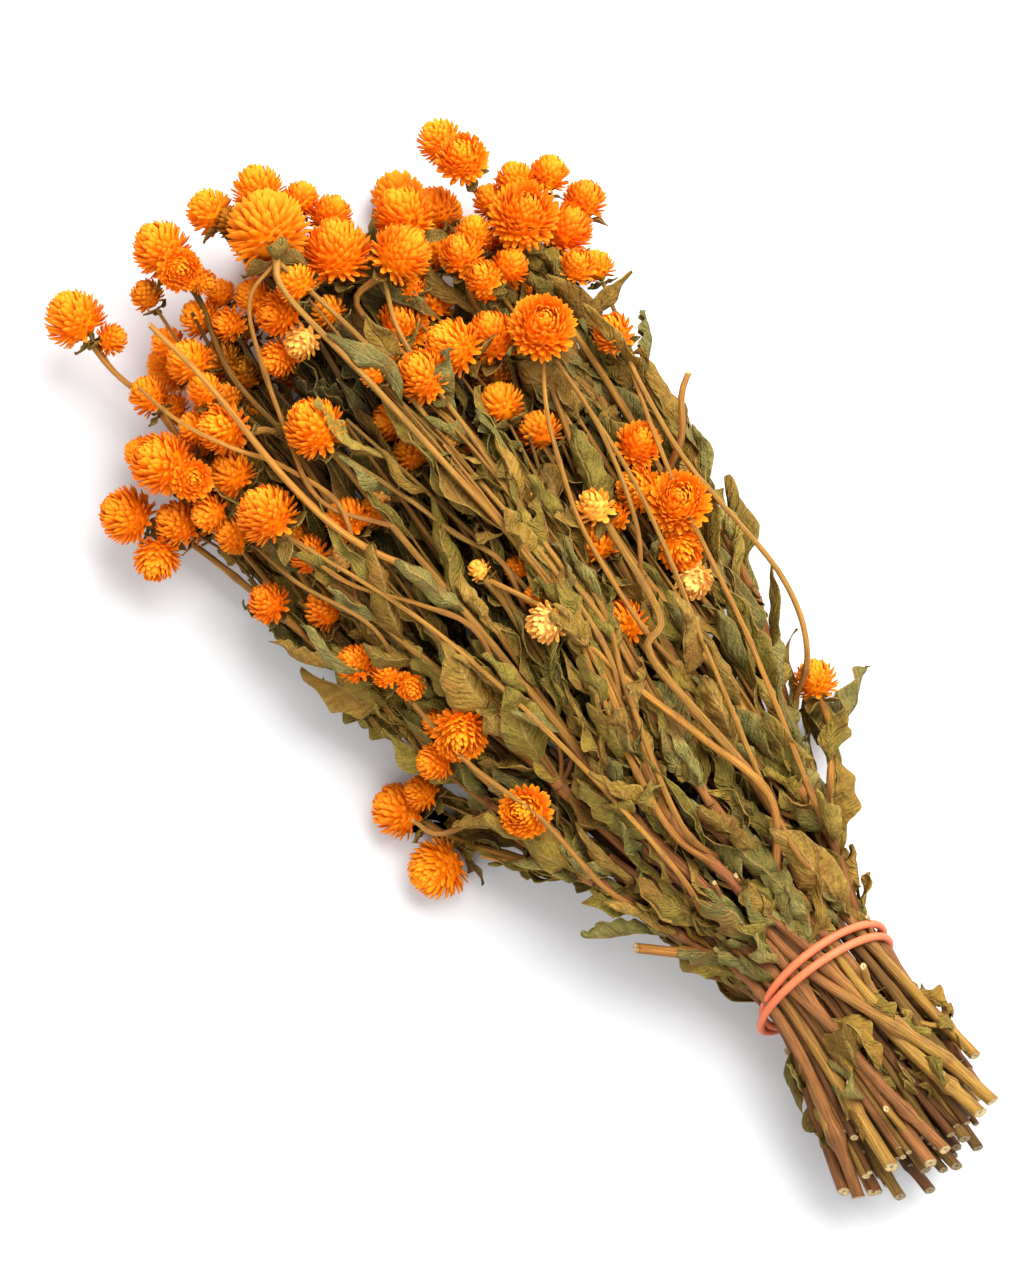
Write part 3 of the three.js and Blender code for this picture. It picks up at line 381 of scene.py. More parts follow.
# Stems push each other apart where they cross, and keep out of the heads, the table and the band.
def settleStrands(laid, heads):
    pieces = [
        (a, b, list(stems).index(s["stem"]), s["head"] if b == s["indices"][-1] else None)
        for s in laid.strands
        for a, b in zip(s["indices"], s["indices"][1:])
    ]
    first, second, owner = (np.array([p[k] for p in pieces]) for k in range(3))
    radius = np.maximum(laid.radii[first], laid.radii[second])
    i, j = np.triu_indices(len(pieces), 1)
    mixed = owner[i] != owner[j]
    i, j = i[mixed], j[mixed]
    wanted = radius[i] + radius[j] + layout["gap"]
    own = np.array([[piece[3] is h for h in heads] for piece in pieces])
    hi, hj = np.nonzero(~own)
    middles = np.array([h.middle for h in heads])[hj]
    headRoom = layout["touch"] * np.array([h.width for h in heads])[hj] / 2 + radius[hi]
    steps = [t for s in laid.strands for t in zip(s["indices"], s["indices"][1:], s["indices"][2:])]
    before, here, after = np.array(steps).T
    start = laid.points.copy()
    free = np.array([role != "held" for role in laid.roles])
    tied = [k for k, role in enumerate(laid.roles) if role == "tied"]
    outer = [k for k in tied if not laid.inner[k]]
    points = laid.points
    for turn in range(layout["rounds"]):
        sums = np.zeros_like(points)
        counts = np.zeros(len(points))

        def push(piece, share, move):
            for ends, weight in ((first[piece], 1 - share), (second[piece], share)):
                np.add.at(sums, ends, move * weight[:, None])
                np.add.at(counts, ends, weight)

        if turn % 10 == 0:  # only pieces that are near can meet in the next rounds
            middle = (points[first] + points[second]) / 2
            half = np.linalg.norm(points[second] - points[first], axis=1) / 2
            reach = half[i] + half[j] + wanted + layout["nearby"]
            close = np.linalg.norm(middle[i] - middle[j], axis=1) < reach
            ci, cj, cw = i[close], j[close], wanted[close]
        # Two pieces are nearest at their shares s and t.
        p0, q0 = points[first[ci]], points[first[cj]]
        u, v = points[second[ci]] - p0, points[second[cj]] - q0
        w = p0 - q0
        a, b, c, d, e = dot(u, u), dot(u, v), dot(v, v), dot(u, w), dot(v, w)
        area = a * c - b * b
        s = np.where(area > 1e-9, np.clip((b * e - c * d) / np.where(area > 1e-9, area, 1), 0, 1), 0)
        t = np.clip((b * s + e) / c, 0, 1)
        s = np.clip((b * t - d) / a, 0, 1)
        apart = w + u * s[:, None] - v * t[:, None]
        distance = np.linalg.norm(apart, axis=1)
        hit = distance < cw
        move = apart[hit] * ((cw - distance) / 2 / distance)[hit][:, None]
        push(ci[hit], s[hit], move)
        push(cj[hit], t[hit], -move)

        p0 = points[first[hi]]
        u = points[second[hi]] - p0
        s = np.clip(dot(u, middles - p0) / dot(u, u), 0, 1)
        apart = p0 + u * s[:, None] - middles
        distance = np.linalg.norm(apart, axis=1)
        hit = distance < headRoom
        push(hi[hit], s[hit], apart[hit] * (headRoom / distance - 1)[hit][:, None])

        sums[here] += ((points[before] + points[after]) / 2 - points[here]) * layout["smoothing"]
        share = 1 / np.maximum(1, counts)
        loose = free.copy()
        loose[tied] = False
        points[loose] += (sums * share[:, None])[loose]
        points[loose] += (start[loose] - points[loose]) * layout["homing"]
        for k in tied:
            if laid.inner[k]:
                paths = points[outer] - points[k]
                lengths = np.linalg.norm(paths, axis=1)
                near = int(np.argmin(lengths))
                touching = laid.radii[k] + laid.radii[outer[near]]
                sums[k] += paths[near] / lengths[near] * (lengths[near] - touching) / 4
            points[k] += sums[k] * share[k]
            points[k] += (start[k] - points[k]) * layout["homing"]
            keepInBand(points[k], start[k], laid.radii[k], laid.inner[k])
        points[free, 2] = np.maximum(points[free, 2], laid.radii[free] + 0.1)


def keepInBand(point, start, radius, inner):
    y, z = point[1] - band["across"], point[2] - band["height"]
    turn = math.atan2(z / band["halfHeight"], y / band["halfWidth"])
    lowered = band["lift"] * abs(math.sin((turn - band["crossing"]) / 2))
    inset = band["strandRadius"] + lowered + radius + layout["clearance"] / 2
    over = math.hypot(y / (band["halfWidth"] - inset), z / (band["halfHeight"] - inset))
    if over > 1 or not inner:
        point[1] = band["across"] + y / over
        point[2] = band["height"] + z / over
    point[0] = start[0]


groups = {name: [Head(*h) for h in group] for name, group in headGroups.items()}
buds = [Head(*h) for h in budsOnStems]
allHeads = [h for group in groups.values() for h in group] + buds
settleHeads([*groups.values(), *([bud] for bud in buds)])
laid = Strands(allHeads)
settleStrands(laid, allHeads)
print("laid out", len(allHeads), "heads and", len(laid.strands), "strands")


def pointsAt(points, reaches):
    lengths = travels(points)
    return np.array([np.interp(reaches, lengths, points[:, k]) for k in range(3)]).T


def evenLine(points, count, share=1.0):
    return pointsAt(points, np.linspace(0, travels(points)[-1] * share, count))


def trunkLine(stem):
    return laid.line(next(s for s in laid.strands if s["stem"] == stem))[0]


# How wide and how high the stems lie along the bunch: inside it the stems get painted shade, darker towards
# the middle, and it has a flat top.
class Outside:
    step, window, margin = 20, 24, 4
    leftOut = 4  # per cent of the points, on either side
    # Painted shade: from and to which share it fades out, and how dark it is, at the cut ends and further on.
    shaded = ((0.5, 0.35), (0.95, 0.8), (0.45, 0.25))
    shadedFrom = (40, 110)
    ceiling, room = 78.0, 8.4
    floor = 0.25

    def __init__(self):
        points = np.concatenate([evenLine(laid.line(s)[0], 40) for s in laid.strands])
        self.along = np.arange(10, 391, self.step)
        rows = []
        for x in self.along:
            near = points[abs(points[:, 0] - x) < self.window]
            low, high = np.percentile(near[:, 1:], (self.leftOut, 100 - self.leftOut), axis=0)
            rows.append((*(low + high) / 2, *(high - low) / 2 + self.margin))
        self.rows = np.array(rows)

    def at(self, x):
        return [np.interp(x, self.along, self.rows[:, k]) for k in range(4)]

    def outness(self, places):
        y, z, halfWidth, halfHeight = self.at(places[:, 0])
        return np.hypot((places[:, 1] - y) / halfWidth, (places[:, 2] - z) / halfHeight)

    def top(self, x, across):
        y, z, halfWidth, halfHeight = self.at(x)
        return z + halfHeight * math.sqrt(max(0.05, 1 - ((across - y) / halfWidth / 1.05) ** 2))


bunch = Outside()


# A value in a finish. Sums of such values are written as sums.
class Shade:
    def __init__(self, finish, socket):
        self.finish, self.socket = finish, socket

    def sum(self, operation, *values):
        return self.finish.node("Math", {"operation": operation}, dict(enumerate(values)))

    def __add__(self, other):
        return self.sum("ADD", self, other)

    def __sub__(self, other):
        return self.sum("SUBTRACT", self, other)

    def __rsub__(self, other):
        return self.sum("SUBTRACT", other, self)

    def __mul__(self, other):
        return self.sum("MULTIPLY", self, other)

    def __pow__(self, other):
        return self.sum("POWER", self, other)

    __radd__, __rmul__ = __add__, __mul__

    def size(self):
        return self.sum("ABSOLUTE", self)

    def wave(self):
        return self.sum("SINE", self)

    def rising(self, low, high):  # 0 below low, 1 above high, smooth between
        settings = {"interpolation_type": "SMOOTHSTEP"}
        return self.finish.node("MapRange", settings, {"Value": self, "From Min": low, "From Max": high})


class Finish:
    def __init__(self, name, **fixed):
        self.material = bpy.data.materials.new(name)
        self.material.use_nodes = True
        self.tree = self.material.node_tree
        self.surface = self.tree.nodes["Principled BSDF"]
        for socket, value in fixed.items():
            self.surface.inputs[socket.replace("_", " ").title().replace("Ior", "IOR")].default_value = value

    def node(self, kind, settings, sockets, output=0):
        node = self.tree.nodes.new("ShaderNode" + kind)
        for key, value in settings.items():
            setattr(node, key, value)
        for key, value in sockets.items():
            self.feed(node.inputs[key], value)
        return Shade(self, node.outputs[output])

    def feed(self, socket, value):
        if isinstance(value, Shade):
            self.tree.links.new(value.socket, socket)
        else:
            socket.default_value = value

    def attribute(self, name, output=0):
        return self.node("Attribute", {"attribute_name": name}, {}, output)

    def parts(self, vector):
        split = self.node("SeparateXYZ", {}, {0: vector})
        return split, *(Shade(self, split.socket.node.outputs[k]) for k in (1, 2))

    def vector(self, x, y, z):
        return self.node("CombineXYZ", {}, {0: x, 1: y, 2: z})

    def noise(self, vector, scale, detail=3.0, roughness=0.55):
        sockets = {"Vector": vector, "Scale": scale, "Detail": detail, "Roughness": roughness}
        return self.node("TexNoise", {}, sockets)

    def mix(self, share, first, second, blend="MIX"):
        settings = {"data_type": "RGBA", "blend_type": blend}
        return self.node("Mix", settings, {0: share, 6: first, 7: second}, 2)

    def brighten(self, colour, value):  # a colour times a grey
        grey = self.node("CombineColor", {}, {0: value, 1: value, 2: value})
        return self.mix(1.0, colour, grey, "MULTIPLY")

    def wear(self, colour, roughness, height=None, depth=0.0, strength=1.0):
        self.feed(self.surface.inputs["Base Color"], colour)
        self.feed(self.surface.inputs["Roughness"], roughness)
        if height:
            bump = self.node("Bump", {}, {"Height": height, "Distance": depth, "Strength": strength})
            self.feed(self.surface.inputs["Normal"], bump)
        return self.material


def colour(red, green, blue):  # a screen colour, 0 to 255, as the shader takes it
    return tuple(((c / 255 + 0.055) / 1.055) ** 2.4 for c in (red, green, blue)) + (1.0,)


black = (0, 0, 0, 1)


def blendColours(a, b, share):
    return tuple(x + (y - x) * share for x, y in zip(a, b))


# On a bract, growth is its place across, its place from foot to tip, and a chance number.
def bractFinish():
    f = Finish("driedBract", specular_ior_level=0.06)
    across, along, chance = f.parts(f.attribute("growth", 1))
    tint = f.attribute("tint")
    fibres = f.noise(f.vector(across * 5.0, along * 1.6, chance * 40.0), 1.0, 3.0, 0.6)
    paleTip = along.rising(0.45, 1.05) * 0.6 + across.size() ** 2.0 * 0.14
    # Each bract is darker towards its foot, where the others cover it: painted shade.
    body = f.brighten(tint, along.rising(0.1, 0.85) * 0.2 + 0.74 + fibres * 0.16)
    tip = f.mix(0.34, tint, colour(255, 184, 60))
    return f.wear(f.mix(paleTip, body, tip), fibres * 0.25 + 0.5, fibres, 0.00025, 0.5)


# On a leaf, growth is the same: across, from root to tip, and a chance number.
def leafFinish():
    f = Finish("driedLeaf", specular_ior_level=0.15)
    across, along, chance = f.parts(f.attribute("growth", 1))
    tint = f.attribute("tint")
    place = f.node("TexCoord", {}, {}, 3)
    mottle = f.noise(place, 190.0, 4.0, 0.6)
    crinkle = f.noise(place, 620.0, 4.0, 0.65)
    reach = across.size()
    midrib = 1.0 - reach.rising(0.03, 0.12)
    sideVein = ((along * 52.0 - reach * 9.0).wave()).rising(0.72, 1.0) * (1.0 - along.rising(0.8, 1.0))
    folds = f.noise(f.vector(along * 12.0 - reach * 2.6, across * 0.8, chance), 1.5, 2.0, 0.5)
    veins = midrib + sideVein * 0.4
    # The mottle is the leaf's own patchy colour; crinkle and folds make it lighter where the bump rises and
    # darker in its creases, which is painted shade.
    light = mottle.rising(0.3, 0.7) * 0.3 + crinkle.rising(0.35, 0.7) * 0.28 + folds.rising(0.36, 0.62) * 0.24
    body = f.brighten(tint, light + 0.67)
    browned = f.mix(f.noise(place, 75.0, 3.0).rising(0.5, 0.72) * 0.6, body, colour(138, 88, 34))
    edged = f.mix(reach.rising(0.78, 1.0) * 0.4, browned, colour(160, 130, 66))
    veined = f.mix(midrib * 0.5 + sideVein * 0.12, edged, colour(172, 136, 74))
    height = crinkle * 0.6 + mottle * 0.6 + folds * 0.8 + veins * -0.25
    return f.wear(veined, mottle * 0.2 + 0.62, height, 0.0024, 1.0)


# On a stem, growth is its place as if it were straight, in millimetres.
def stemFinish():
    f = Finish("driedStem", specular_ior_level=0.15)
    straight = f.attribute("growth", 1)
    x, y, z = f.parts(straight)
    tint = f.attribute("tint")
    streaks = f.noise(f.vector(x * 1.5, y * 1.5, z * 0.035), 1.6, 4.0, 0.65)
    fine = f.noise(f.vector(x * 4.0, y * 4.0, z * 0.12), 1.7, 3.0, 0.6)
    blotches = f.noise(f.vector(x * 0.3, y * 0.3, z * 0.09), 1.0, 3.0, 0.6)
    lined = f.brighten(tint, streaks.rising(0.32, 0.68) * 0.7 + fine.rising(0.35, 0.7) * 0.35 + 0.32)
    greened = f.mix(blotches.rising(0.52, 0.75) * 0.24, lined, colour(116, 96, 42))
    patches = f.noise(f.vector(x * 0.4, y * 0.4, z * 0.05 + 40.0), 1.3, 3.0, 0.6)
    greyed = f.mix(patches.rising(0.5, 0.75) * 0.5, greened, colour(122, 70, 50))
    return f.wear(greyed, streaks * 0.25 + 0.45, streaks + fine * 0.6, 0.0006, 0.7)


def rubberFinish():
    f = Finish("salmonRubber", specular_ior_level=0.4, coat_roughness=0.5)
    place = f.node("TexCoord", {}, {}, 3)
    dust = f.noise(place, 420.0, 4.0, 0.6)
    worn = f.noise(place, 60.0, 2.0)
    body = f.mix(worn * 0.5, colour(217, 104, 62), colour(232, 134, 88))
    return f.wear(f.brighten(body, dust * 0.3 + 0.82), dust * 0.2 + 0.48, dust, 0.0001, 0.5)


finishes = {
    "bract": bractFinish(),
    "leaf": leafFinish(),
    "stem": stemFinish(),
    "rubber": rubberFinish(),
}
print("finishes ready")


# One leaf, stem or head while it is shaped, with what its finish reads.
class Part:
    def __init__(self, piece):
        self.piece = piece
        self.bm = bmesh.new()
        self.growth = self.bm.verts.layers.float_vector.new("growth")
        self.tint = self.bm.verts.layers.float_color.new("tint")

    def done(self, material):
        bmesh.ops.recalc_face_normals(self.bm, faces=self.bm.faces)
        for face in self.bm.faces:
            face.material_index = self.piece.materials.index(material)
        mesh = bpy.data.meshes.new("part")
        self.bm.to_mesh(mesh)
        self.bm.free()
        self.piece.bm.from_mesh(mesh)
        bpy.data.meshes.remove(mesh)


sharpFrom = math.radians(82)


# A piece of the dressed bunch: one mesh, which stands for one CAD node.
class Piece:
    def __init__(self, *materials):
        self.bm = bmesh.new()
        self.bm.verts.layers.float_vector.new("growth")
        self.bm.verts.layers.float_color.new("tint")
        self.materials = materials

    def finish(self, name, node, slot):
        mesh = bpy.data.meshes.new(name)
        self.bm.to_mesh(mesh)
        self.bm.free()
        count = len(mesh.vertices)
        places, tints = np.empty(count * 3, np.float32), np.empty(count * 4, np.float32)
        mesh.vertices.foreach_get("co", places)
        mesh.attributes["tint"].data.foreach_get("color", tints)
        places, tints = places.reshape(-1, 3), tints.reshape(-1, 4)
        # Painted shade: the stems, with the leaves and heads on them, get darker towards the middle of the
        # bunch, where the outer ones shade them.
        inner, outer, low = (np.interp(places[:, 0], bunch.shadedFrom, pair) for pair in bunch.shaded)
        out = np.clip((bunch.outness(places) - inner) / (outer - inner), 0, 1)
        if self.materials[0] == "stem":
            tints[:, :3] *= (low + (1 - low) * out * out * (3 - 2 * out))[:, None]
        over = np.maximum(places[:, 2] - bunch.ceiling, 0)
        room = bunch.room
        lowered = places[:, 2] - over + room * (1 - np.exp(-over / room))
        places[:, 2] = np.maximum(lowered, bunch.floor)
        places = (places + originShift) * millimetre
        mesh.attributes["tint"].data.foreach_set("color", tints.ravel())
        mesh.vertices.foreach_set("co", places.astype(np.float32).ravel())
        print(name, sum(len(p.vertices) - 2 for p in mesh.polygons), "triangles")
        for material in self.materials:
            mesh.materials.append(finishes[material])
        mesh.shade_smooth()
        mesh.set_sharp_from_angle(angle=sharpFrom)
        piece = bpy.data.objects.new(name, mesh)
        bpy.context.scene.collection.objects.link(piece)
        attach(piece, "root")
        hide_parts(node)


# A leaf is a sheet that follows a curve from its root to its tip, folded, rolled, waved and crumpled.
leafLook = {
    "grid": (6, 28),
    "stripGrid": (4, 17),
    "litterGrid": (4, 9),
    "smallGrid": (4, 6),
    "thickness": 0.4,
    "shade": (-0.12, 0.28),
    "jag": 0.15,
    "waveRows": 5.5,  # each wave of the edge takes at least so many rows
    "tipCurl": 0.5,
    "wrinkle": 2.2,
    "fineWrinkle": 0.5,
    "colours": [
        (134, 110, 40), (116, 100, 36), (142, 118, 48), (126, 96, 34), (138, 106, 40), (110, 100, 46),
        (124, 108, 40), (150, 116, 50), (128, 118, 62), (118, 110, 56),
    ],
    "calyx": [(112, 96, 38), (130, 106, 44), (136, 100, 40)],
}


# The same shift at a place in every run, unlike noise_vector's.
def wrinkles(place):
    shifts = (0, 0, 0), (31.4, 7.7, 3.1), (5.2, 61.3, 17.9)
    return Vector([noise.noise(place + Vector(shift)) for shift in shifts])


def addLeaf(piece, leaf, draw, grid=None, palette="colours", petiole=0.07):
    part = Part(piece)
    bm = part.bm
    columns, rows = grid or leafLook["grid"]
    root, tip = Vector(leaf["root"]), Vector(leaf["tip"])
    middle = root.lerp(tip, 0.4) + Vector(leaf["out"]) * leaf["rise"]
    colours = leafLook[palette]
    tint = colour(*colours[int(draw() * len(colours))])
    tint = blendColours(tint, black, draw(*leafLook["shade"]))
    phase, waves = draw(0, 6.28), draw(1.5, rows / leafLook["waveRows"])
    ripple = draw(*leaf.get("ripple", (0.04, 0.14)))
    curl, seed = draw(*leaf.get("curl", (-0.9, 0.9))), draw(0, 90)
    tipCurl = draw(-leafLook["tipCurl"], leafLook["tipCurl"])
    bow = draw(*leaf.get("bow", (-0.1, 0.1)))
    crumple = leaf.get("crumple", 1.0)
    flat = Vector(leaf.get("flat", (0, 0, 1)))
    bmesh.ops.create_grid(bm, x_segments=columns, y_segments=rows, size=0.5)
    bmesh.ops.solidify(bm, geom=bm.faces[:], thickness=leafLook["thickness"])
    frames = {}
    for v in bm.verts:
        across, along, depth = v.co.x * 2, v.co.y + 0.5, v.co.z
        row = round(along * rows)
        if row not in frames:
            point = root.lerp(middle, along).lerp(middle.lerp(tip, along), along)
            tangent = (middle.lerp(tip, along) - root.lerp(middle, along)).normalized()
            level = -flat.cross(tangent).normalized()
            turned = Quaternion(tangent, leaf["turn"] + leaf["twist"] * (along - 0.5))
            side = turned @ level
            frames[row] = (point, side, tangent.cross(side))
        point, side, normal = frames[row]
        blade = max(0.0, (along - petiole) / (1 - petiole))
        jag = 1 + leafLook["jag"] * noise.noise((along * 4, seed, 2.0 if across > 0 else 7.0))
        share = max(math.sin(math.pi * min(blade, 1) ** 0.93) ** 0.85 * jag, 0.07 if along < 0.5 else 0.02)
        half = leaf["width"] / 2 * share
        roll = curl * (0.4 + 0.6 * along) or 1e-6
        rollSin, rollCos = math.sin(roll * across), math.cos(roll * across)
        x = half * rollSin / roll
        lift = half * (1 - rollCos) / roll
        lift += leaf["fold"] * 2 * abs(x)
        edge = abs(across) ** 1.5
        swing = math.sin(6.283 * waves * along + phase + (1.9 if across > 0 else 0))
        lift += ripple * leaf["width"] * edge * swing * min(1, 3 * blade)
        lift += tipCurl * leaf["width"] * max(0, along - 0.62) ** 2 * 2.2
        lift -= 0.35 * max(0, 1 - abs(across) * 3.5) * (1 - along)
        bent = point + side * (x + bow * leaf["width"] * math.sin(math.pi * along)) + normal * lift
        wrinkle = wrinkles(bent * 0.1 + Vector((seed, 0, 0))) * leafLook["wrinkle"] * crumple
        wrinkle += wrinkles(bent * 0.3) * leafLook["fineWrinkle"] * crumple
        v.co = bent + wrinkle * min(1, 4 * along)
        v.co += (normal * rollCos - side * rollSin) * depth
        v[part.growth] = (across, along, seed)
        v[part.tint] = tint
    part.done("leaf")


# A stem is a sheet rolled up along its line. Its rings start and end with those of its cut faces.
stemLook = {
    "sides": 12,
    "stalkSides": 8,
    "step": 3.0,
    "ridges": 0.08,
    "uneven": 0.07,
    "jointEvery": (38, 62),
    # Rings of a cut face from its middle outwards: share of the radius, depth.
    "cutFace": ((0.02, 0.9), (0.2, 0.85), (0.27, 0.05), (0.62, 0.0), (0.93, 0.02)),
    # Colours of those rings; the dark one in the middle is painted shade in the stem's hollow.
    "cutColours": ("hollowShade", "hollowShade", "pith", "pith", "rim"),
    "joint": (112, 70, 40),
    "cut": (166, 124, 54),
    "lower": (152, 98, 52),
    "middle": (146, 88, 52),
    "upper": (177, 114, 55),
    "stalk": (193, 131, 52),
    "green": (122, 124, 62),
    "pith": (226, 200, 146),
    "rim": (206, 170, 104),
    # Painted shade for the hollow at the middle of a cut face.
    "hollowShade": (70, 46, 24),
}


# Seams are welded, and what is still open is filled.
def closeUp(bm, made, distance):
    bmesh.ops.remove_doubles(bm, verts=made, dist=distance)
    bmesh.ops.holes_fill(bm, edges=[edge for edge in bm.edges if edge.is_boundary], sides=0)


def lineFrames(points):
    side = None
    made = []
    for i, point in enumerate(points):
        tangent = unit(points[min(i + 1, len(points) - 1)] - points[max(i - 1, 0)])
        side = np.cross((0, 0, 1), tangent) if side is None else side - tangent * side.dot(tangent)
        side = unit(side)
        made.append((point, side, np.cross(tangent, side), tangent))
    return made


def addStem(piece, points, radii, draw, tints, swellings=(), cutStart=False, cutEnd=False, sides=8):
    part = Part(piece)
    bm = part.bm
    reaches = travels(points)
    spans = max(4, round(reaches[-1] / stemLook["step"]))
    travelled = np.linspace(0, 1, spans + 1) * reaches[-1]
    # Even steps along the line, and not along its vertices' numbers.
    numbers = np.interp(travelled, reaches, np.arange(len(points)))
    line = smoothLine(points, numbers / (len(points) - 1))
    radius = np.interp(numbers, np.arange(len(points)), radii)
    for at, height, spread in swellings:
        radius = radius * (1 + height * np.exp(-(((travelled - at) / spread) ** 2)))
    wobble = draw(0, 50)
    frames = lineFrames(line)
    face = stemLook["cutFace"]
    rings = [(k, radius[k], 0.0, None) for k in range(spans + 1)]
    closed = ((0.02, 0.0),)
    for end, cut in ((0, cutStart), (spans, cutEnd)):
        rows = face if cut else closed
        capped = [(end, radius[end] * s, depth, j if cut else None) for j, (s, depth) in enumerate(rows)]
        rings = capped + rings if end == 0 else rings + capped[::-1]
    count = len(rings) - 1
    ridges = draw(4.2, 5.9) // 1
    phase = draw(0, 6.28)
    made = bmesh.ops.create_grid(bm, x_segments=sides, y_segments=count, size=0.5)["verts"]
    for v in made:
        turn = (v.co.x + 0.5) * 2 * math.pi
        k, size, depth, row = rings[round((v.co.y + 0.5) * count)]
        point, side, normal, tangent = frames[k]
        size = size * (1 + stemLook["ridges"] * math.cos(ridges * turn + phase))
        x, y = math.cos(turn), math.sin(turn)
        lump = noise.noise((x * 1.5, y * 1.5, travelled[k] * 0.12 + wobble))
        size *= 1 + stemLook["uneven"] * lump
        inward = tangent if k == 0 else -tangent
        away = side * x + normal * y
        cut = (k == 0 and cutStart) or (k == spans and cutEnd)
        slant = (away[2] * 0.8 + away[1] * 0.2) * size if cut else 0
        v.co = point + away * size + inward * (depth + slant)
        v[part.growth] = (x * 2 + wobble, y * 2, travelled[k])
        if row is None:
            ringed = sum(math.exp(-(((travelled[k] - at) / 1.6) ** 2)) for at, _, _ in swellings)
            share = min(0.5, ringed * 0.5)
            v[part.tint] = blendColours(tints(travelled[k]), colour(*stemLook["joint"]), share)
        else:
            v[part.tint] = colour(*stemLook[stemLook["cutColours"][row]])
    closeUp(bm, made, 0.001)
    part.done("stem")


# A flower head: a ball covered by keeled, pointed bracts, in the spiral order they grow in.
bloom = {
    "core": 0.68,
    "foot": 0.5,  # bracts spring from this share of the head's radius
    "countAt24": 205,  # bracts of a head 24 mm wide, and how their number grows with it
    "power": 1.3,
    "least": 38,
    "spiral": 2.399963,  # radians from one bract to the next
    "bractWidth": (1.35, 0.036),  # and so much more for each millimetre of the head
    "openTo": 154,
    "lean": (22, 28),
    "reach": (0.95, 1.05),
    "broader": (0.85, 1.12),
    "topShare": 0.72,  # how broad those round the top are
    "bends": (-0.2, -0.08, 0.04, 0.14),
    # Along a bract: place, half its width, and the heights of its keel and of its hollow.
    "rings": (
        (0.0, 0.3, 0.1, 0.03), (0.3, 0.46, 0.3, 0.06), (0.64, 0.5, 0.34, 0.05), (0.87, 0.36, 0.26, 0.02),
        (1.0, 0, 0, 0),
    ),
    "orange": [(247, 131, 5), (247, 127, 3), (247, 138, 7), (247, 132, 5)],
    "deep": [(246, 126, 4), (244, 120, 3), (246, 130, 5)],
    "yellow": [(238, 124, 5), (238, 131, 9), (238, 120, 4)],
    "pale": [(247, 184, 88), (245, 176, 70), (248, 194, 104)],
    "paler": (255, 186, 60),
    "redder": (240, 100, 2),
    "paleCount": 0.55,  # pale heads have fewer and broader bracts
    "paleWidth": 1.2,
}
# Heads that aren't orange, by their place along and across.
headsByColour = {
    "yellow": {
        (404, -12), (370, -44), (331, -25), (347, -64), (358, -63), (349, -110), (331, -93), (187, 38),
        (304, -89), (325, 48), (406, 17), (411, 56), (223, 40), (386, 57), (161, -73), (254, -63),
    },
    "pale": {
        (367, 2), (265, 0), (236, -8), (258, -46), (271, -31), (308, -19), (308, 11), (298, 37), (217, -59),
    },
    "deep": {
        (345, 50), (368, 12), (352, -44), (345, -74), (345, -98), (229, -62), (328, -53), (339, 64),
        (301, 67),
    },
}


# A boat-shaped bract one unit long: a sheet rolled up to four sides, which meet at the tip.
def bractShape(bend):
    bm = bmesh.new()
    growth = bm.verts.layers.float_vector.new("growth")
    rings = bloom["rings"]
    made = bmesh.ops.create_grid(bm, x_segments=4, y_segments=len(rings) - 1, size=0.5)["verts"]
    for v in made:
        along, half, keel, hollow = rings[round((v.co.y + 0.5) * (len(rings) - 1))]
        x, z = ((half, 0), (0, keel), (-half, 0), (0, hollow))[round((v.co.x + 0.5) * 4) % 4]
        v.co = (x, along, z + bend * along**2)
        v[growth] = (x * 2, along, 0)
    closeUp(bm, made, 1e-4)
    bmesh.ops.recalc_face_normals(bm, faces=bm.faces)
    mesh = bpy.data.meshes.new("bractShape")
    bm.to_mesh(mesh)
    bm.free()
    return mesh


bractShapes = [bractShape(bend) for bend in bloom["bends"]]


def headColour(head):
    if head.key is None:  # a small head between the others
        return "deep"
    for kind, keys in headsByColour.items():
        if head.key in keys:
            return kind
    return "orange"


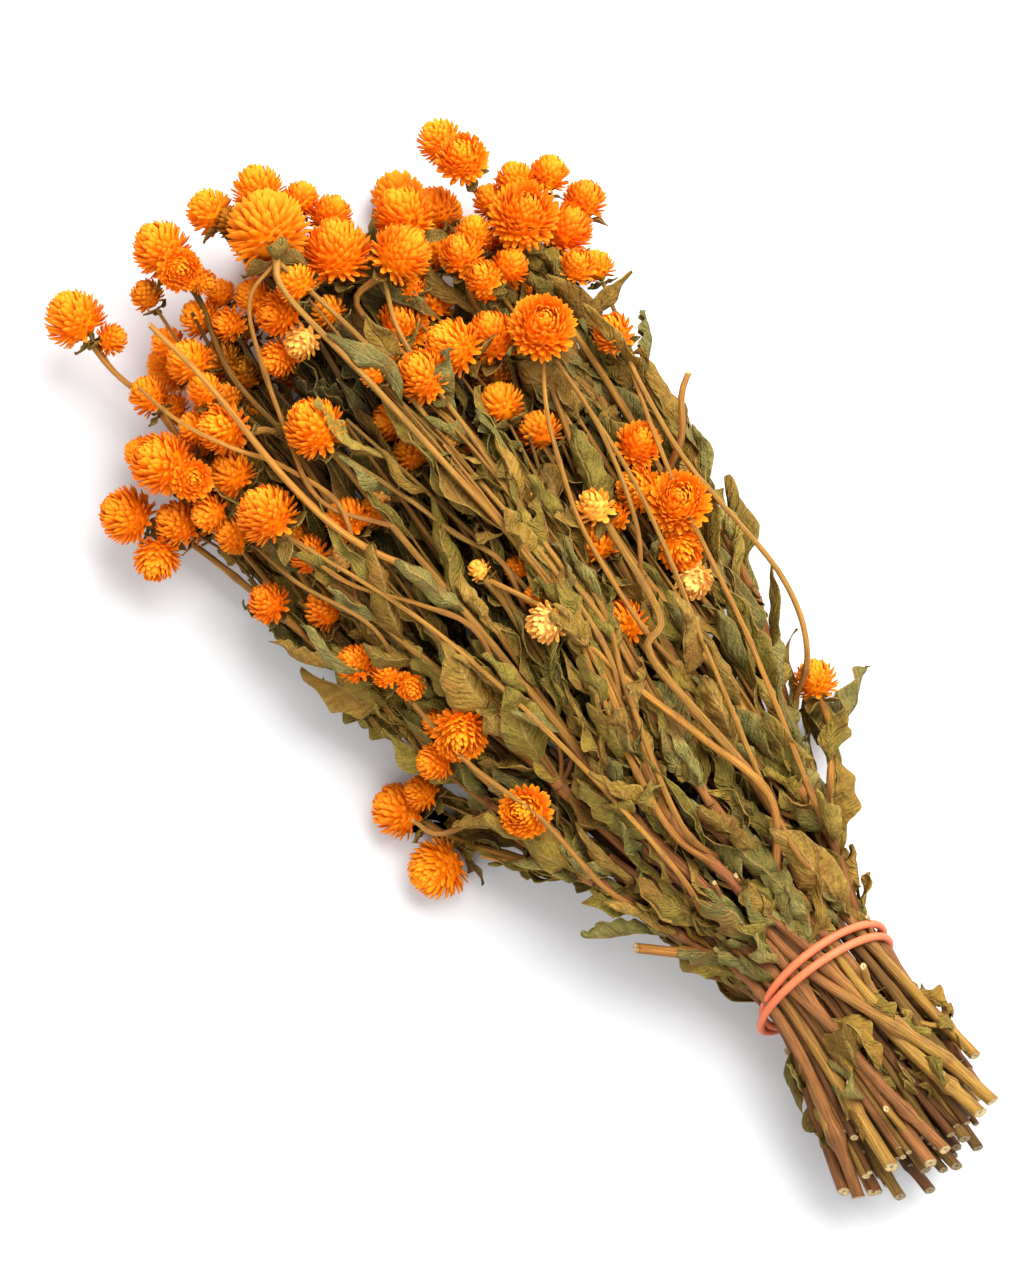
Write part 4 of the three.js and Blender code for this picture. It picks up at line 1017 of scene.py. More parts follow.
def addHead(piece, head, draw):
    part = Part(piece)
    bm = part.bm
    radius = head.width / 2
    kind = headColour(head)
    base = colour(*bloom[kind][int(draw() * len(bloom[kind]))])
    count = max(bloom["least"], round(bloom["countAt24"] * (head.width / 24) ** bloom["power"]))
    width = bloom["bractWidth"][0] + bloom["bractWidth"][1] * head.width
    if kind == "pale":
        count, width = round(count * bloom["paleCount"]), width * bloom["paleWidth"]
    turned = Vector((0, 0, 1)).rotation_difference(Vector(head.facing))
    middle = Vector(head.middle)
    spin, openness = draw(0, 6.28), draw(0.85, 1.15)
    cosEnd = math.cos(math.radians(bloom["openTo"]))
    for i in range(count):
        cosine = 1 - (i + 0.5) / count * (1 - cosEnd)
        polar = math.acos(cosine)
        turn = spin + i * bloom["spiral"] + draw(-0.08, 0.08)
        out = Vector((math.sin(polar) * math.cos(turn), math.sin(polar) * math.sin(turn), cosine))
        up = Vector((-cosine * math.cos(turn), -cosine * math.sin(turn), math.sin(polar)))
        low, more = bloom["lean"]
        lean = math.radians((low + more * math.sin(polar)) * openness + draw(-9, 9))
        foot = bloom["foot"] * radius
        reach = radius * draw(*bloom["reach"])
        length = math.sqrt(reach**2 - (foot * math.sin(lean)) ** 2) - foot * math.cos(lean)
        blade = out * math.cos(lean) + up * math.sin(lean)
        keel = out * math.sin(lean) - up * math.cos(lean)
        twisted = Quaternion(blade, draw(-0.3, 0.3))
        keel = twisted @ keel
        across = blade.cross(keel)
        w = width * draw(*bloom["broader"]) * (bloom["topShare"] if polar < 0.35 else 1)
        matrix = Matrix.Identity(4)
        for column, axis in enumerate((across * w, blade * length, keel * w, out * foot)):
            for row in range(3):
                matrix[row][column] = axis[row]
        matrix = Matrix.Translation(middle) @ turned.to_matrix().to_4x4() @ matrix
        shape = int(min(3.99, max(0, draw(-0.8, 2.2) + 2.2 * polar / 2.6)))
        first = len(bm.verts)
        bm.from_mesh(bractShapes[shape])
        bm.verts.ensure_lookup_table()
        new = bm.verts[first:]
        bmesh.ops.transform(bm, matrix=matrix, verts=new)
        share = draw(0, 0.16) + (0.12 if polar < 0.45 else 0)
        tint = blendColours(base, colour(*bloom["paler"]), share)
        tint = blendColours(tint, colour(*bloom["redder"]), draw(0, 0.22))
        seed = draw()
        for v in new:
            v[part.tint] = tint
            v[part.growth].z = seed
    core = bmesh.ops.create_icosphere(bm, subdivisions=2, radius=bloom["core"] * radius)["verts"]
    bmesh.ops.translate(bm, verts=core, vec=middle)
    for v in core:
        v[part.growth] = (0, 0.4, 0)
        v[part.tint] = base
    part.done("bract")


# Three or four small green leaves at the foot of a head.
def addCalyx(piece, head, draw):
    facing, middle = Vector(head.facing), Vector(head.middle)
    side = facing.orthogonal().normalized()
    start, number = draw(0, 6.28), 3 + (draw() > 0.5)
    for k in range(number):
        around = Quaternion(facing, start + 2 * math.pi * k / number + draw(-0.4, 0.4)) @ side
        root = middle - facing * head.width * 0.4 + around * 0.6
        spread = draw(0.9, 1.6)
        reach = head.width * draw(0.36, 0.56)
        tip = root + (around * math.sin(spread) - facing * math.cos(spread) * draw(-0.5, 0.8)) * reach
        leaf = {
            "root": root, "tip": tip, "out": -facing, "rise": draw(0.4, 1.6),
            "width": head.width * draw(0.24, 0.36), "turn": draw(-0.3, 0.3), "twist": draw(-0.9, 0.9),
            "fold": draw(0, 0.3), "flat": -facing + around * 0.3, "crumple": 0.5,
        }
        addLeaf(piece, leaf, draw, leafLook["smallGrid"], "calyx", 0.02)


for index, (name, group) in enumerate(groups.items()):
    piece = Piece("bract", "leaf")
    for k, head in enumerate(group):
        draw = randomNumbers(9000 + 20 * index + k)
        addHead(piece, head, draw)
        addCalyx(piece, head, draw)
    piece.finish(name.replace("head", "bloom"), name, "flower_heads")
print("flower heads made")


# Leaves that stand out: stem, place near it, tip, width, how far the middle rises, turn in degrees,
# and how sharply the leaf is folded.
def leafSpec(stem, start, tip, width, rise=4, turn=0, fold=0.15):
    return {
        "stem": stem, "start": start, "tip": tip, "width": width, "rise": rise, "turn": math.radians(turn),
        "twist": math.radians(20), "fold": fold, "out": (0, 0, 1),
    }


namedLeaves = [
    leafSpec("stem_slanting", (84, -31, 50), (132, -28, 60), 16, rise=5, turn=-20),
    leafSpec("stem_right_side", (134, -50, 50), (166, -51, 58), 14, rise=4, turn=-35),
    leafSpec("stem_right_edge", (160, -61, 44), (208, -66, 50), 14, rise=5, turn=-40),
    leafSpec("stem_left_top", (220, 29, 60), (252, 24, 70), 17, rise=4, turn=15),
    leafSpec("stem_left_top", (196, 22, 60), (228, 17, 72), 18, rise=4, turn=5),
    leafSpec("stem_crossing", (218, -18, 68), (248, -22, 74), 10, rise=4, turn=30),
    leafSpec("stem_right_top", (218, -26, 62), (256, -30, 70), 8, rise=4, turn=-60),
    leafSpec("stem_slanting", (190, -38, 58), (218, -50, 66), 12, rise=5, turn=-50, fold=0.35),
    leafSpec("stem_slanting", (158, -35, 54), (188, -41, 66), 14, rise=4, fold=0.3),
    leafSpec("stem_right_low", (283, -84, 40), (318, -84, 54), 10, rise=9, turn=-70),
    leafSpec("stem_right_low", (312, -84, 40), (319, -108, 34), 8, rise=5, turn=40),
    leafSpec("stem_left_low", (246, 56, 36), (276, 73, 32), 12, rise=6, turn=45, fold=0.4),
    leafSpec("stem_left_short", (132, 33, 46), (150, 42, 52), 9, rise=3, turn=20),
    leafSpec("stem_left_low", (150, 44, 36), (176, 52, 44), 11, rise=4, turn=50),
    leafSpec("stem_crossing", (352, -8, 62), (386, -4, 58), 10, rise=4, turn=20, fold=0.4),
    leafSpec("stem_right_low", (236, -84, 32), (262, -93, 36), 9, rise=4, turn=-50),
    leafSpec("stem_right_side", (112, -48, 44), (138, -62, 46), 14, rise=6, turn=-60, fold=0.4),
    leafSpec("stem_right_low", (168, -76, 26), (204, -86, 30), 7, rise=4, turn=-70),
    leafSpec("stem_middle_top", (40, -3, 46), (62, -6, 56), 13, rise=3, fold=0.4),
    leafSpec("stem_left_low", (48, 25, 30), (58, 18, 46), 5, rise=6, turn=60),
    leafSpec("stem_left_short", (96, 26, 42), (116, 24, 54), 9, rise=5, turn=30, fold=0.4),
    leafSpec("stem_middle_top", (96, -2, 50), (128, 6, 60), 13, rise=4, turn=20, fold=0.3),
    leafSpec("stem_right_top", (104, -18, 52), (136, -14, 62), 12, rise=4, turn=-10, fold=0.3),
    leafSpec("stem_left_top", (112, 18, 48), (146, 22, 56), 12, rise=4, turn=25, fold=0.25),
    leafSpec("stem_middle_top", (150, 6, 58), (186, 16, 66), 13, rise=3, turn=20, fold=0.3),
    leafSpec("stem_crossing", (176, -8, 66), (206, -2, 74), 12, rise=3, turn=10, fold=0.3),
    leafSpec("stem_right_edge", (214, -68, 38), (246, -84, 42), 12, rise=6, turn=-60),
    leafSpec("stem_slanting", (252, -48, 56), (288, -56, 66), 13, rise=4, turn=-30, fold=0.3),
    leafSpec("stem_left_low", (206, 49, 34), (240, 62, 34), 13, rise=5, turn=60, fold=0.3),
    leafSpec("stem_left_top", (262, 30, 58), (296, 24, 66), 13, rise=4, turn=25, fold=0.3),
    leafSpec("stem_middle_top", (262, 8, 62), (296, -2, 70), 12, rise=3, turn=-10, fold=0.3),
    leafSpec("stem_right_top", (268, -24, 62), (300, -34, 68), 12, rise=4, turn=-20, fold=0.3),
    leafSpec("stem_left_edge", (232, 58, 22), (268, 70, 14), 12, rise=4, turn=80, fold=0.3),
    leafSpec("stem_right_low", (206, -78, 22), (240, -92, 14), 12, rise=4, turn=-80, fold=0.3),
]

# Thinner stems and stalks that fill the bunch run between two of the laid ones.
fillerRule = {
    "trunks": 3, "stalks": 9, "trunkRadius": (1.0, 1.7), "stalkRadius": (0.6, 1.0), "points": 8,
    "neighbours": 5, "headWidth": (12, 19), "leastHead": 9,
}


def fillersOf(name, draw):
    def neighbour(lines, distance):
        return sorted(lines, key=distance)[1 + int(draw(0, fillerRule["neighbours"]))]

    def fromTrunk(line):
        return np.linalg.norm(line[2] - own[2])

    def fromStalk(line):
        return np.linalg.norm(line[-3] - first[-3]) + np.linalg.norm(line[0] - first[0])

    lines, count = [], fillerRule["points"]
    own = trunkLine(name)
    for _ in range(fillerRule["trunks"]):
        other = neighbour([laid.line(s)[0] for s in laid.strands if not s["head"]], fromTrunk)
        share, start = draw(0.3, 0.7), draw(0.0, 0.1)
        line = evenLine(own + (other - own) * share, count)
        line[0] += (line[1] - line[0]) * start * 3
        radius = draw(*fillerRule["trunkRadius"])
        lines.append(("trunk", line, np.linspace(radius, radius * 0.8, count)))
    stalks = [laid.line(s)[0] for s in laid.strands if s["head"]]
    mine = [laid.line(s)[0] for s in laid.strands if s["head"] and s["stem"] == name]
    bend = np.linspace(0, 1, count)[:, None]
    for k in range(fillerRule["stalks"]):
        bears = k % 2 == 0 or k > 6
        first = mine[int(draw(0, len(mine)))]
        other = neighbour(stalks, fromStalk)
        share, reach = draw(0.25, 0.75), draw(0.8, 1.0) if bears else draw(0.6, 0.85)
        a, b = evenLine(first, count, reach), evenLine(other, count, reach)
        sway = np.array([[0, draw(-5, 5), draw(-6, 3)]]) * np.sin(bend * 3.1)
        line = a + (b - a) * share * bend**0.5 + sway
        radius = draw(*fillerRule["stalkRadius"])
        head = fillerHead(line, draw(*fillerRule["headWidth"])) if bears else None
        lines.append((head, line, np.linspace(radius * 1.25, radius * 0.7, count)))
    return lines


# A head at a filling stalk's end, where it has room among the others.
def fillerHead(line, width):
    foot, facing = line[-1], unit(line[-1] - line[-2])
    for head in allHeads + moreHeads:
        width = min(width, 2.1 * np.linalg.norm(foot - head.middle) - 0.9 * head.width)
    if width < fillerRule["leastHead"]:
        return None
    head = copy.copy(allHeads[0])
    head.key, head.middle, head.width, head.facing = None, foot + facing * width * 0.4, width, facing
    moreHeads.append(head)
    return head


moreHeads = []
fillers = {name: fillersOf(name, randomNumbers(700 + k)) for k, name in enumerate(stems)}
# Heads low down between the others: stem, place, width.
lowHeads = [
    ("stem_middle_top", (372, -27, 30), 17), ("stem_middle", (356, 9, 28), 17),
    ("stem_middle", (345, -8, 34), 16), ("stem_crossing", (384, -4, 26), 16),
    ("stem_right_deep", (360, -46, 28), 16), ("stem_left_inner", (336, 16, 32), 16),
    ("stem_left_deep", (352, 32, 26), 16), ("stem_right_inner", (392, -32, 32), 15),
    ("stem_right_top", (330, -22, 38), 16), ("stem_left_inner", (374, 24, 24), 15),
    ("stem_middle_deep", (320, 2, 30), 16), ("stem_right_deep", (312, -44, 34), 16),
    ("stem_left_deep", (318, 36, 28), 16), ("stem_right_side", (336, -72, 28), 15),
    ("stem_left_edge", (344, 62, 24), 15), ("stem_crossing", (366, -8, 40), 15),
    ("stem_left_top", (392, 40, 28), 14), ("stem_right_side", (322, -98, 26), 14),
]
for name, place, width in lowHeads:
    start = trunkLine(name)[-1]
    place = np.array(place, float)
    through = np.array([start, start * 0.5 + place * 0.5 - (0, 0, 6), place])
    line = smoothLine(through, np.linspace(0, 1, 6))
    fillers[name].append((fillerHead(line, width), line, np.linspace(1.0, 0.7, 6)))
print("filling heads", len(moreHeads))

# Shrivelled leaves fill the bunch: twisted strips along the stems, and small crumpled ones.
stripRule = {
    "perStem": 44, "from": 12, "to": 346, "length": (20, 46), "width": (3.5, 8.5), "lean": (0, 18),
    "around": 180, "twist": 2.6,
    "look": {"curl": (-2.6, 2.6), "ripple": (0.1, 0.34), "bow": (-0.8, 0.8), "grid": "stripGrid"},
}
crumpledRule = {
    "perStem": 34, "from": 14, "to": 352, "length": (9, 25), "width": (6, 12), "lean": (4, 46),
    "around": 180, "twist": 2.4,
    "look": {"curl": (-2.6, 2.6), "ripple": (0.1, 0.3), "bow": (-0.4, 0.4), "grid": "litterGrid"},
}
# Broad leaves that point inwards, crumbs between the stems near the band, and some that cling to
# the outside there.
innerRule = {
    "perStem": 18, "from": 110, "to": 368, "length": (24, 40), "width": (11, 18), "lean": (4, 24),
    "around": 60, "inwards": True,
    "look": {"curl": (-1.6, 1.6), "ripple": (0.06, 0.2), "grid": "litterGrid", "crumple": 1.2},
}
crumbRule = {
    "perStem": 30, "from": 12, "to": 125, "length": (8, 20), "width": (3.5, 7), "lean": (4, 50),
    "around": 180,
    "look": {"curl": (-2.8, 2.8), "ripple": (0.1, 0.4), "grid": "litterGrid", "crumple": 0.8},
}
outerRule = {
    "perStem": 34, "from": 8, "to": 118, "length": (8, 22), "width": (4, 8), "lean": (-8, 16),
    "around": 75, "leastOut": 0.6, "rise": 0.25,
    "look": {
        "curl": (-2.6, 2.6), "ripple": (0.1, 0.3), "grid": "litterGrid", "bow": (-0.7, 0.7), "crumple": 0.8,
    },
}
# How all of these leaves stand on their stems.
standing = {"rise": (2, 7), "turn": (-0.6, 0.6), "twist": (-0.6, 0.9), "fold": (0.05, 0.4)}
# They stay out of the heads, and under the band.
room = {"shares": (0.35, 0.6, 0.8, 1.0), "heads": 0.48, "nearBand": 14, "underBand": 0.78}


def rootOn(stem, place):
    best = (1e9, None)
    for strand in laid.strands:
        if strand["stem"] != stem:
            continue
        points, _ = laid.line(strand)
        for p0, p1 in zip(points, points[1:]):
            u = p1 - p0
            root = p0 + u * np.clip((place - p0).dot(u) / u.dot(u), 0, 1)
            best = min(best, (np.linalg.norm(root - place), tuple(root)))
    return best[1]


# Leaves drawn at random along a stem's own strands and the lines that fill it.
def randomLeaves(stem, rule, draw, more=()):
    lines = [laid.line(s)[0] for s in laid.strands if s["stem"] == stem] + [line for _, line, _ in more]
    leaves = []
    for _ in range(rule["perStem"]):
        draws = [draw() for _ in range(10)]
        points = lines[int(draws[0] * len(lines))]
        place = draws[1] * (len(points) - 1)
        i = min(len(points) - 2, int(place))
        p0, p1 = points[i], points[i + 1]
        root = p0 + (p1 - p0) * (place - i)
        around = between((-rule["around"], rule["around"]), draws[2]) + 180 * ("inwards" in rule)
        around = math.radians(around)
        lean = math.radians(between(rule["lean"], draws[3]))
        y, z = unit(np.array([root[1] - layout["axisAcross"], root[2] - layout["axisHeight"]]))
        c, s = math.cos(around), math.sin(around)
        out = np.array([0, y * c - z * s, y * s + z * c])
        direction = unit(unit(p1 - p0) * math.cos(lean) + out * math.sin(lean))
        if rule["from"] < root[0] < rule["to"]:
            leaves.append({
                "root": root, "tip": root + direction * between(rule["length"], draws[4]), "out": out,
                "width": between(rule["width"], draws[5]), "rise": between(standing["rise"], draws[6]),
                "turn": math.atan2(-out[1], out[2]) + between(standing["turn"], draws[7]),
                "twist": between(standing["twist"], draws[8]),
                "fold": between(standing["fold"], draws[9]),
            })
    return leaves


def clear(leaf):
    root, reach, rise = leaf["root"], leaf["tip"] - leaf["root"], leaf["out"] * leaf["rise"]
    points = [root + reach * share + rise * share * (1 - share) * 2 for share in room["shares"]]
    for point in points:
        if (np.linalg.norm(headMiddles - point, axis=1) < headReach).any():
            return False
    points = np.array(points)
    crossing = abs(points[:, 0] - band["along"]) < room["nearBand"]
    return not (bunch.outness(points[crossing]) > room["underBand"]).any()


# Broad leaves low between the heads: stem, root, tip, width.
lowLeaves = [
    ("stem_middle_deep", (335, -5, 30), (394, -22, 26), 24),
    ("stem_middle_deep", (330, 0, 30), (374, 14, 24), 24),
    ("stem_crossing", (340, -20, 28), (386, -36, 26), 24),
    ("stem_right_deep", (325, -35, 28), (376, -52, 26), 26),
    ("stem_right_inner", (320, -50, 28), (362, -66, 26), 24),
    ("stem_left_inner", (325, 15, 28), (372, 28, 24), 24),
    ("stem_left_deep", (320, 25, 26), (364, 42, 22), 24),
    ("stem_middle_top", (350, -22, 26), (402, -12, 24), 22),
    ("stem_middle", (336, -14, 24), (380, -4, 20), 24),
    ("stem_right_top", (346, -40, 30), (392, -46, 28), 22),
]

# Curled leaves on the top, near the band: root and tip on the plan, width.
topLeaves = [
    ((64, -3), (40, -8), 11), ((60, 3), (42, 1), 7), ((66, -15), (46, -21), 8),
    ((54, -25), (37, -30), 7), ((62, 19), (40, 24), 6), ((36, 8), (20, 12), 6),
    ((52, -36), (36, -41), 7), ((86, 7), (108, 14), 9), ((88, -16), (110, -19), 9),
    ((90, -29), (112, -36), 9), ((34, -18), (20, -22), 6), ((88, -4), (104, -2), 8),
    ((92, 16), (114, 26), 9), ((46, 10), (30, 12), 6), ((100, -12), (122, -10), 9),
    ((98, -24), (118, -27), 8),
]

allBlooms = allHeads + moreHeads
headMiddles = np.array([head.middle for head in allBlooms])
headReach = np.array([head.width * room["heads"] for head in allBlooms])
leavesOf = {name: [] for name in stems}
for leaf in namedLeaves:
    look = {"curl": (1.3, 2.6), "ripple": (0.1, 0.24)}
    if leaf["fold"] < 0.3:  # a flat one
        look = {"curl": (-0.5, 0.6), "ripple": (0.03, 0.08)}
    root = rootOn(leaf["stem"], np.array(leaf["start"], float))
    leavesOf[leaf["stem"]].append({**leaf, "root": root, **look})
for name, root, tip, width in lowLeaves:
    leavesOf[name].append({
        "root": rootOn(name, np.array(root, float)), "tip": tip, "width": width, "out": (0, 0, 1),
        "rise": 5, "turn": 0, "twist": 0.5, "fold": 0.15, "curl": (-0.8, 0.8), "ripple": (0.05, 0.14),
    })
trunkEnds = {name: trunkLine(name)[1] for name in stems}
for (x, y), (tipX, tipY), width in topLeaves:
    place = np.array((x, y, bunch.top(x, y) - 1))
    owner = min(stems, key=lambda name: np.linalg.norm(trunkEnds[name][1:] - place[1:]))
    leavesOf[owner].append({
        "root": rootOn(owner, place), "tip": (tipX, tipY, bunch.top(tipX, tipY) + 1), "width": width,
        "out": (0, 0, 1), "rise": 3, "turn": 0.3, "twist": 1.2, "fold": 0.2, "curl": (1.2, 2.8),
        "ripple": (0.2, 0.4), "crumple": 0.9, "grid": "stripGrid", "bow": (-0.5, 0.5),
    })


def smaller(leaf, length, width):
    tip = leaf["root"] + (leaf["tip"] - leaf["root"]) * length
    return {**leaf, "tip": tip, "width": leaf["width"] * width}


draw = randomNumbers(layout["seed"])
for head in allHeads:
    for _ in range(next(number for width, number in leafRule["headDraws"] if head.width < width)):
        draw()
for name in stems:
    for leaf in filter(clear, randomLeaves(name, leafRule, draw)):
        leaf = smaller(leaf, leafRule["shorter"], leafRule["narrower"])
        leavesOf[name].append({**leaf, **leafRule["look"]})
for index, name in enumerate(stems):
    draw = randomNumbers(500 + index)
    for rule in (stripRule, crumpledRule):
        for leaf in filter(clear, randomLeaves(name, rule, draw, fillers[name])):
            share = np.interp(leaf["root"][0], (20, 110), (0.55, 1))  # crumbs near the cut ends
            leaf = {**smaller(leaf, share, share), "twist": leaf["twist"] * rule["twist"]}
            leavesOf[name].append({**leaf, **rule["look"], "crumple": share * 1.3})
    for rule in (innerRule, crumbRule):
        for leaf in filter(clear, randomLeaves(name, rule, draw, fillers[name])):
            leavesOf[name].append({**leaf, **rule["look"]})
    for leaf in filter(clear, randomLeaves(name, outerRule, draw)):
        if bunch.outness(leaf["root"][None])[0] > outerRule["leastOut"]:
            rise = leaf["rise"] * outerRule["rise"]
            leavesOf[name].append({**leaf, **outerRule["look"], "rise": rise})


# What gives a stem's colour so many millimetres from its start, with painted shade added for stems that lie
# inside the bunch.
def trunkTints(draw, paintedShade=0.0):
    cut = colour(*stemLook["cut" if draw() < 0.45 else "lower"])
    lower, middle, upper = (colour(*stemLook[key]) for key in ("lower", "middle", "upper"))
    # A random tone, darker or lighter, plus the painted shade.
    shade = draw(-0.12, 0.3) + paintedShade
    stops = ((0, cut), (34, cut), (80, lower), (125, middle), (170, upper), (1e3, upper))

    def tints(travelled):
        for (a, first), (b, second) in zip(stops, stops[1:]):
            if travelled <= b:
                tint = blendColours(first, second, (travelled - a) / (b - a))
                return blendColours(tint, black, shade)

    return tints


def stalkTints(draw, paintedShade=0.0):
    upper, stalk = colour(*stemLook["upper"]), colour(*stemLook["stalk"])
    # A random tone, darker or lighter, plus the painted shade, and a share of green.
    shade, green = draw(-0.1, 0.3) + paintedShade, draw(0, 0.3)
    stalk = blendColours(stalk, colour(*stemLook["green"]), green)

    def tints(travelled):
        return blendColours(blendColours(upper, stalk, min(1, travelled / 45)), black, shade)

    return tints


# Bare and broken stalks: stem, radii, places.
bareStalks = [
    ("stem_left_top", (1.5, 0.9), (268, 20, 58), (297, 28, 62), (330, 35, 66), (375, 37, 64), (404, 41, 60)),
    ("stem_left_short", (2.0, 1.8), (104, 20, 42), (113, 24, 43), (124, 36, 40)),
    ("stem_right_edge", (1.5, 1.2), (252, -76, 42), (260, -86, 44), (272, -95, 46), (277, -102, 45)),
    ("stem_left_low", (1.2, 0.9), (166, 45, 34), (174, 52, 30), (183, 61, 26)),
    ("stem_left_low", (1.2, 0.8), (190, 56, 30), (198, 68, 27), (208, 73, 26)),
]


# Broken side shoots stand out of a stem's joints, in pairs.
def addStubs(piece, points, radii, joints, draw):
    for at, _, _ in joints:
        around, number = draw(0, 6.28), int(draw(0, 2.99))
        root, ahead = pointsAt(points, (at, at + 2))
        radius = np.interp(at, travels(points), radii)
        along = unit(ahead - root)
        side = unit(np.cross(along, (0, 0, 1)))
        for k in range(number):
            turn = around + math.pi * k
            out = side * math.cos(turn) + np.cross(side, along) * math.sin(turn)
            way = unit(along * draw(0.8, 1.6) + out)
            reach = draw(5, 13)
            line = np.array([root, root + way * reach * 0.5, root + (way + along * 0.25) * reach])
            thick = radius * draw(0.4, 0.6)
            thicknesses = np.linspace(thick * 1.3, thick, 5)
            addStem(piece, evenLine(line, 5), thicknesses, draw, trunkTints(draw), cutEnd=True, sides=6)


# Thick stems on the top of the cut ends: stem, radii, joints, then places on the plan, each with how
# far it lies above the others.
topTrunks = [
    ("stem_right_top", (2.4, 1.8), [(24, 0.3, 3), (47, 0.7, 4)],
     (3, -33, -2), (24, -29, -1), (45, -22, 0), (62, -15, -2), (82, -8, -5), (104, -5, -8)),
    ("stem_right_top", (1.9, 1.5), [(2, 0.6, 4)],
     (45, -22, 0), (62, -20, -1), (82, -20, -5), (104, -22, -8)),
    ("stem_middle", (2.2, 1.7), [(20, 0.5, 3)],
     (1, -9, -2), (30, -5, -1), (58, -3, -2), (82, 1, -5), (104, 6, -8)),
    ("stem_left_top", (2.3, 1.7), [(27, 0.9, 4)],
     (3, 26, -3), (28, 19, -1), (58, 12, -2), (82, 10, -5), (104, 13, -8)),
]

# Stalks that run over the top: stem, radii, places on the plan.
topStalks = [
    ("stem_crossing", (1.3, 1.0), (155, 1), (205, -8), (226, -15), (252, -21), (286, -30)),
    ("stem_middle", (1.2, 1.0), (150, -3), (200, -16), (226, -26), (262, -40)),
    ("stem_crossing", (1.2, 0.9), (212, -18), (250, -21), (300, -18), (350, -16), (384, -14)),
    ("stem_right_top", (1.1, 0.8), (220, -24), (262, -24), (300, -26), (345, -27), (372, -30)),
    ("stem_slanting", (1.0, 0.8), (215, -34), (250, -37), (272, -43), (296, -53), (309, -61)),
    ("stem_slanting", (1.0, 0.8), (245, -54), (280, -64), (310, -67)),
    ("stem_middle_top", (1.0, 0.8), (262, -8), (280, -1), (300, 5), (334, 17)),
    ("stem_left_top", (1.0, 0.8), (250, 14), (268, 24), (290, 40), (317, 49)),
    ("stem_middle_top", (1.0, 0.7), (318, 30), (345, 25), (385, 10), (410, 2)),
    ("stem_left_top", (1.0, 0.7), (310, 26), (335, 33), (352, 44), (370, 53), (390, 58)),
    ("stem_left_short", (0.9, 0.7), (270, 42), (300, 54), (322, 64)),
    ("stem_right_low", (1.1, 0.8), (172, -76), (200, -85), (250, -82), (280, -85), (299, -83)),
    ("stem_slanting", (1.8, 1.4), (158, -33), (205, -30), (214, -41), (245, -57)),
    ("stem_right_top", (1.5, 0.9), (140, -34), (172, -27), (205, -18), (236, -12), (266, -6)),
    ("stem_left_short", (1.1, 0.8), (150, 32), (182, 35), (214, 44), (250, 52)),
    ("stem_left_top", (1.1, 0.8), (140, 8), (200, 14), (260, 26), (316, 38)),
    ("stem_right_side", (1.1, 0.8), (120, -30), (190, -46), (255, -62), (318, -78)),
    ("stem_right_edge", (1.1, 0.8), (130, -46), (190, -62), (250, -74), (310, -92)),
]


# A stalk over the top ends at the foot of the nearest head, or down among the leaves.
def stalkEnd(place, near=28, drop=14):
    feet = np.array([head.middle - head.facing * head.width * 0.4 for head in allBlooms])
    away = np.linalg.norm(feet - place, axis=1)
    return feet[away.argmin()] if away.min() < near else np.array(place) - (0, 0, drop)


for index, name in enumerate(stems):
    draw = randomNumbers(3000 + 11 * index)
    piece = Piece("stem", "leaf", "bract")
    trunk, *stalks = [s for s in laid.strands if s["stem"] == name]
    points, radii = laid.line(trunk)
    length = travels(points)[-1]
    joints, at = [], draw(10, 30)
    while at < length - 12:
        joints.append((at, draw(0.25, 0.6), draw(1.8, 3.2)))
        at += draw(*stemLook["jointEvery"])
    joints.append((length, 0.35, 3.5))
    addStem(piece, points, radii, draw, trunkTints(draw), joints, cutStart=True, sides=stemLook["sides"])
    addStubs(piece, points, radii, joints[:-1], draw)
    for stalk in stalks:
        points, radii = laid.line(stalk)
        joints = [(0, 0.3, 3.0), (draw(25, 60), 0.25, 2.0), (draw(80, 130), 0.25, 2.0)]
        addStem(piece, points, radii, draw, stalkTints(draw), joints, sides=stemLook["stalkSides"])
        if stalk["head"] in buds:
            addHead(piece, stalk["head"], draw)
            addCalyx(piece, stalk["head"], draw)
    for head, line, radii in fillers[name]:
        isTrunk = head == "trunk"
        joints = [(draw(30, 60), 0.3, 2.2), (draw(80, 120), 0.3, 2.2)]
        # Filling stems lie inside the bunch, so their colours get extra painted shade.
        tints = trunkTints(draw, 0.35) if isTrunk else stalkTints(draw, 0.2)
        addStem(piece, line, radii, draw, tints, joints, cutStart=isTrunk, sides=6)
        if head and not isTrunk:
            addHead(piece, head, draw)
            addCalyx(piece, head, draw)
    for stem, (thick, thin), *line in bareStalks:
        if stem == name:
            line = np.array([rootOn(stem, np.array(line[0], float)), *line[1:]], float)
            radii = np.linspace(thick, thin, len(line))
            addStem(piece, line, radii, draw, stalkTints(draw), [(0, 0.3, 3)], cutEnd=True, sides=8)
    for stem, (thick, thin), joints, *plan in topTrunks:
        if stem == name:
            line = np.array([(x, y, bunch.top(x, y) + drop) for x, y, drop in plan])
            radii = np.linspace(thick, thin, len(line))
            addStem(piece, line, radii, draw, trunkTints(draw), joints, cutStart=plan[0][0] < 10, sides=10)
    for stem, (thick, thin), *plan in topStalks:
        if stem == name:
            line = [(x, y, bunch.top(x, y) + draw(0, 3)) for x, y in plan]
            line[-1] = stalkEnd(line[-1])
            line = np.array([rootOn(stem, np.array((*plan[0], 60.0)) - (24, 0, 12)), *line])
            radii = np.linspace(thick, thin, len(line))
            joints = [(draw(20, 50), 0.35, 2.2), (draw(70, 110), 0.35, 2.2)]
            addStem(piece, line, radii, draw, stalkTints(draw), joints, cutEnd=True, sides=8)
    for leaf in leavesOf[name]:
        addLeaf(piece, leaf, draw, leafLook[leaf.get("grid", "grid")])
    piece.finish(name.replace("stem", "leafy_stem"), name, "stems_and_leaves")
print("stems made, with", sum(map(len, leavesOf.values())), "leaves")


# The rubber band goes round twice, as one closed loop.
bandLook = {"spans": 220, "sides": 16, "radius": 1.5}


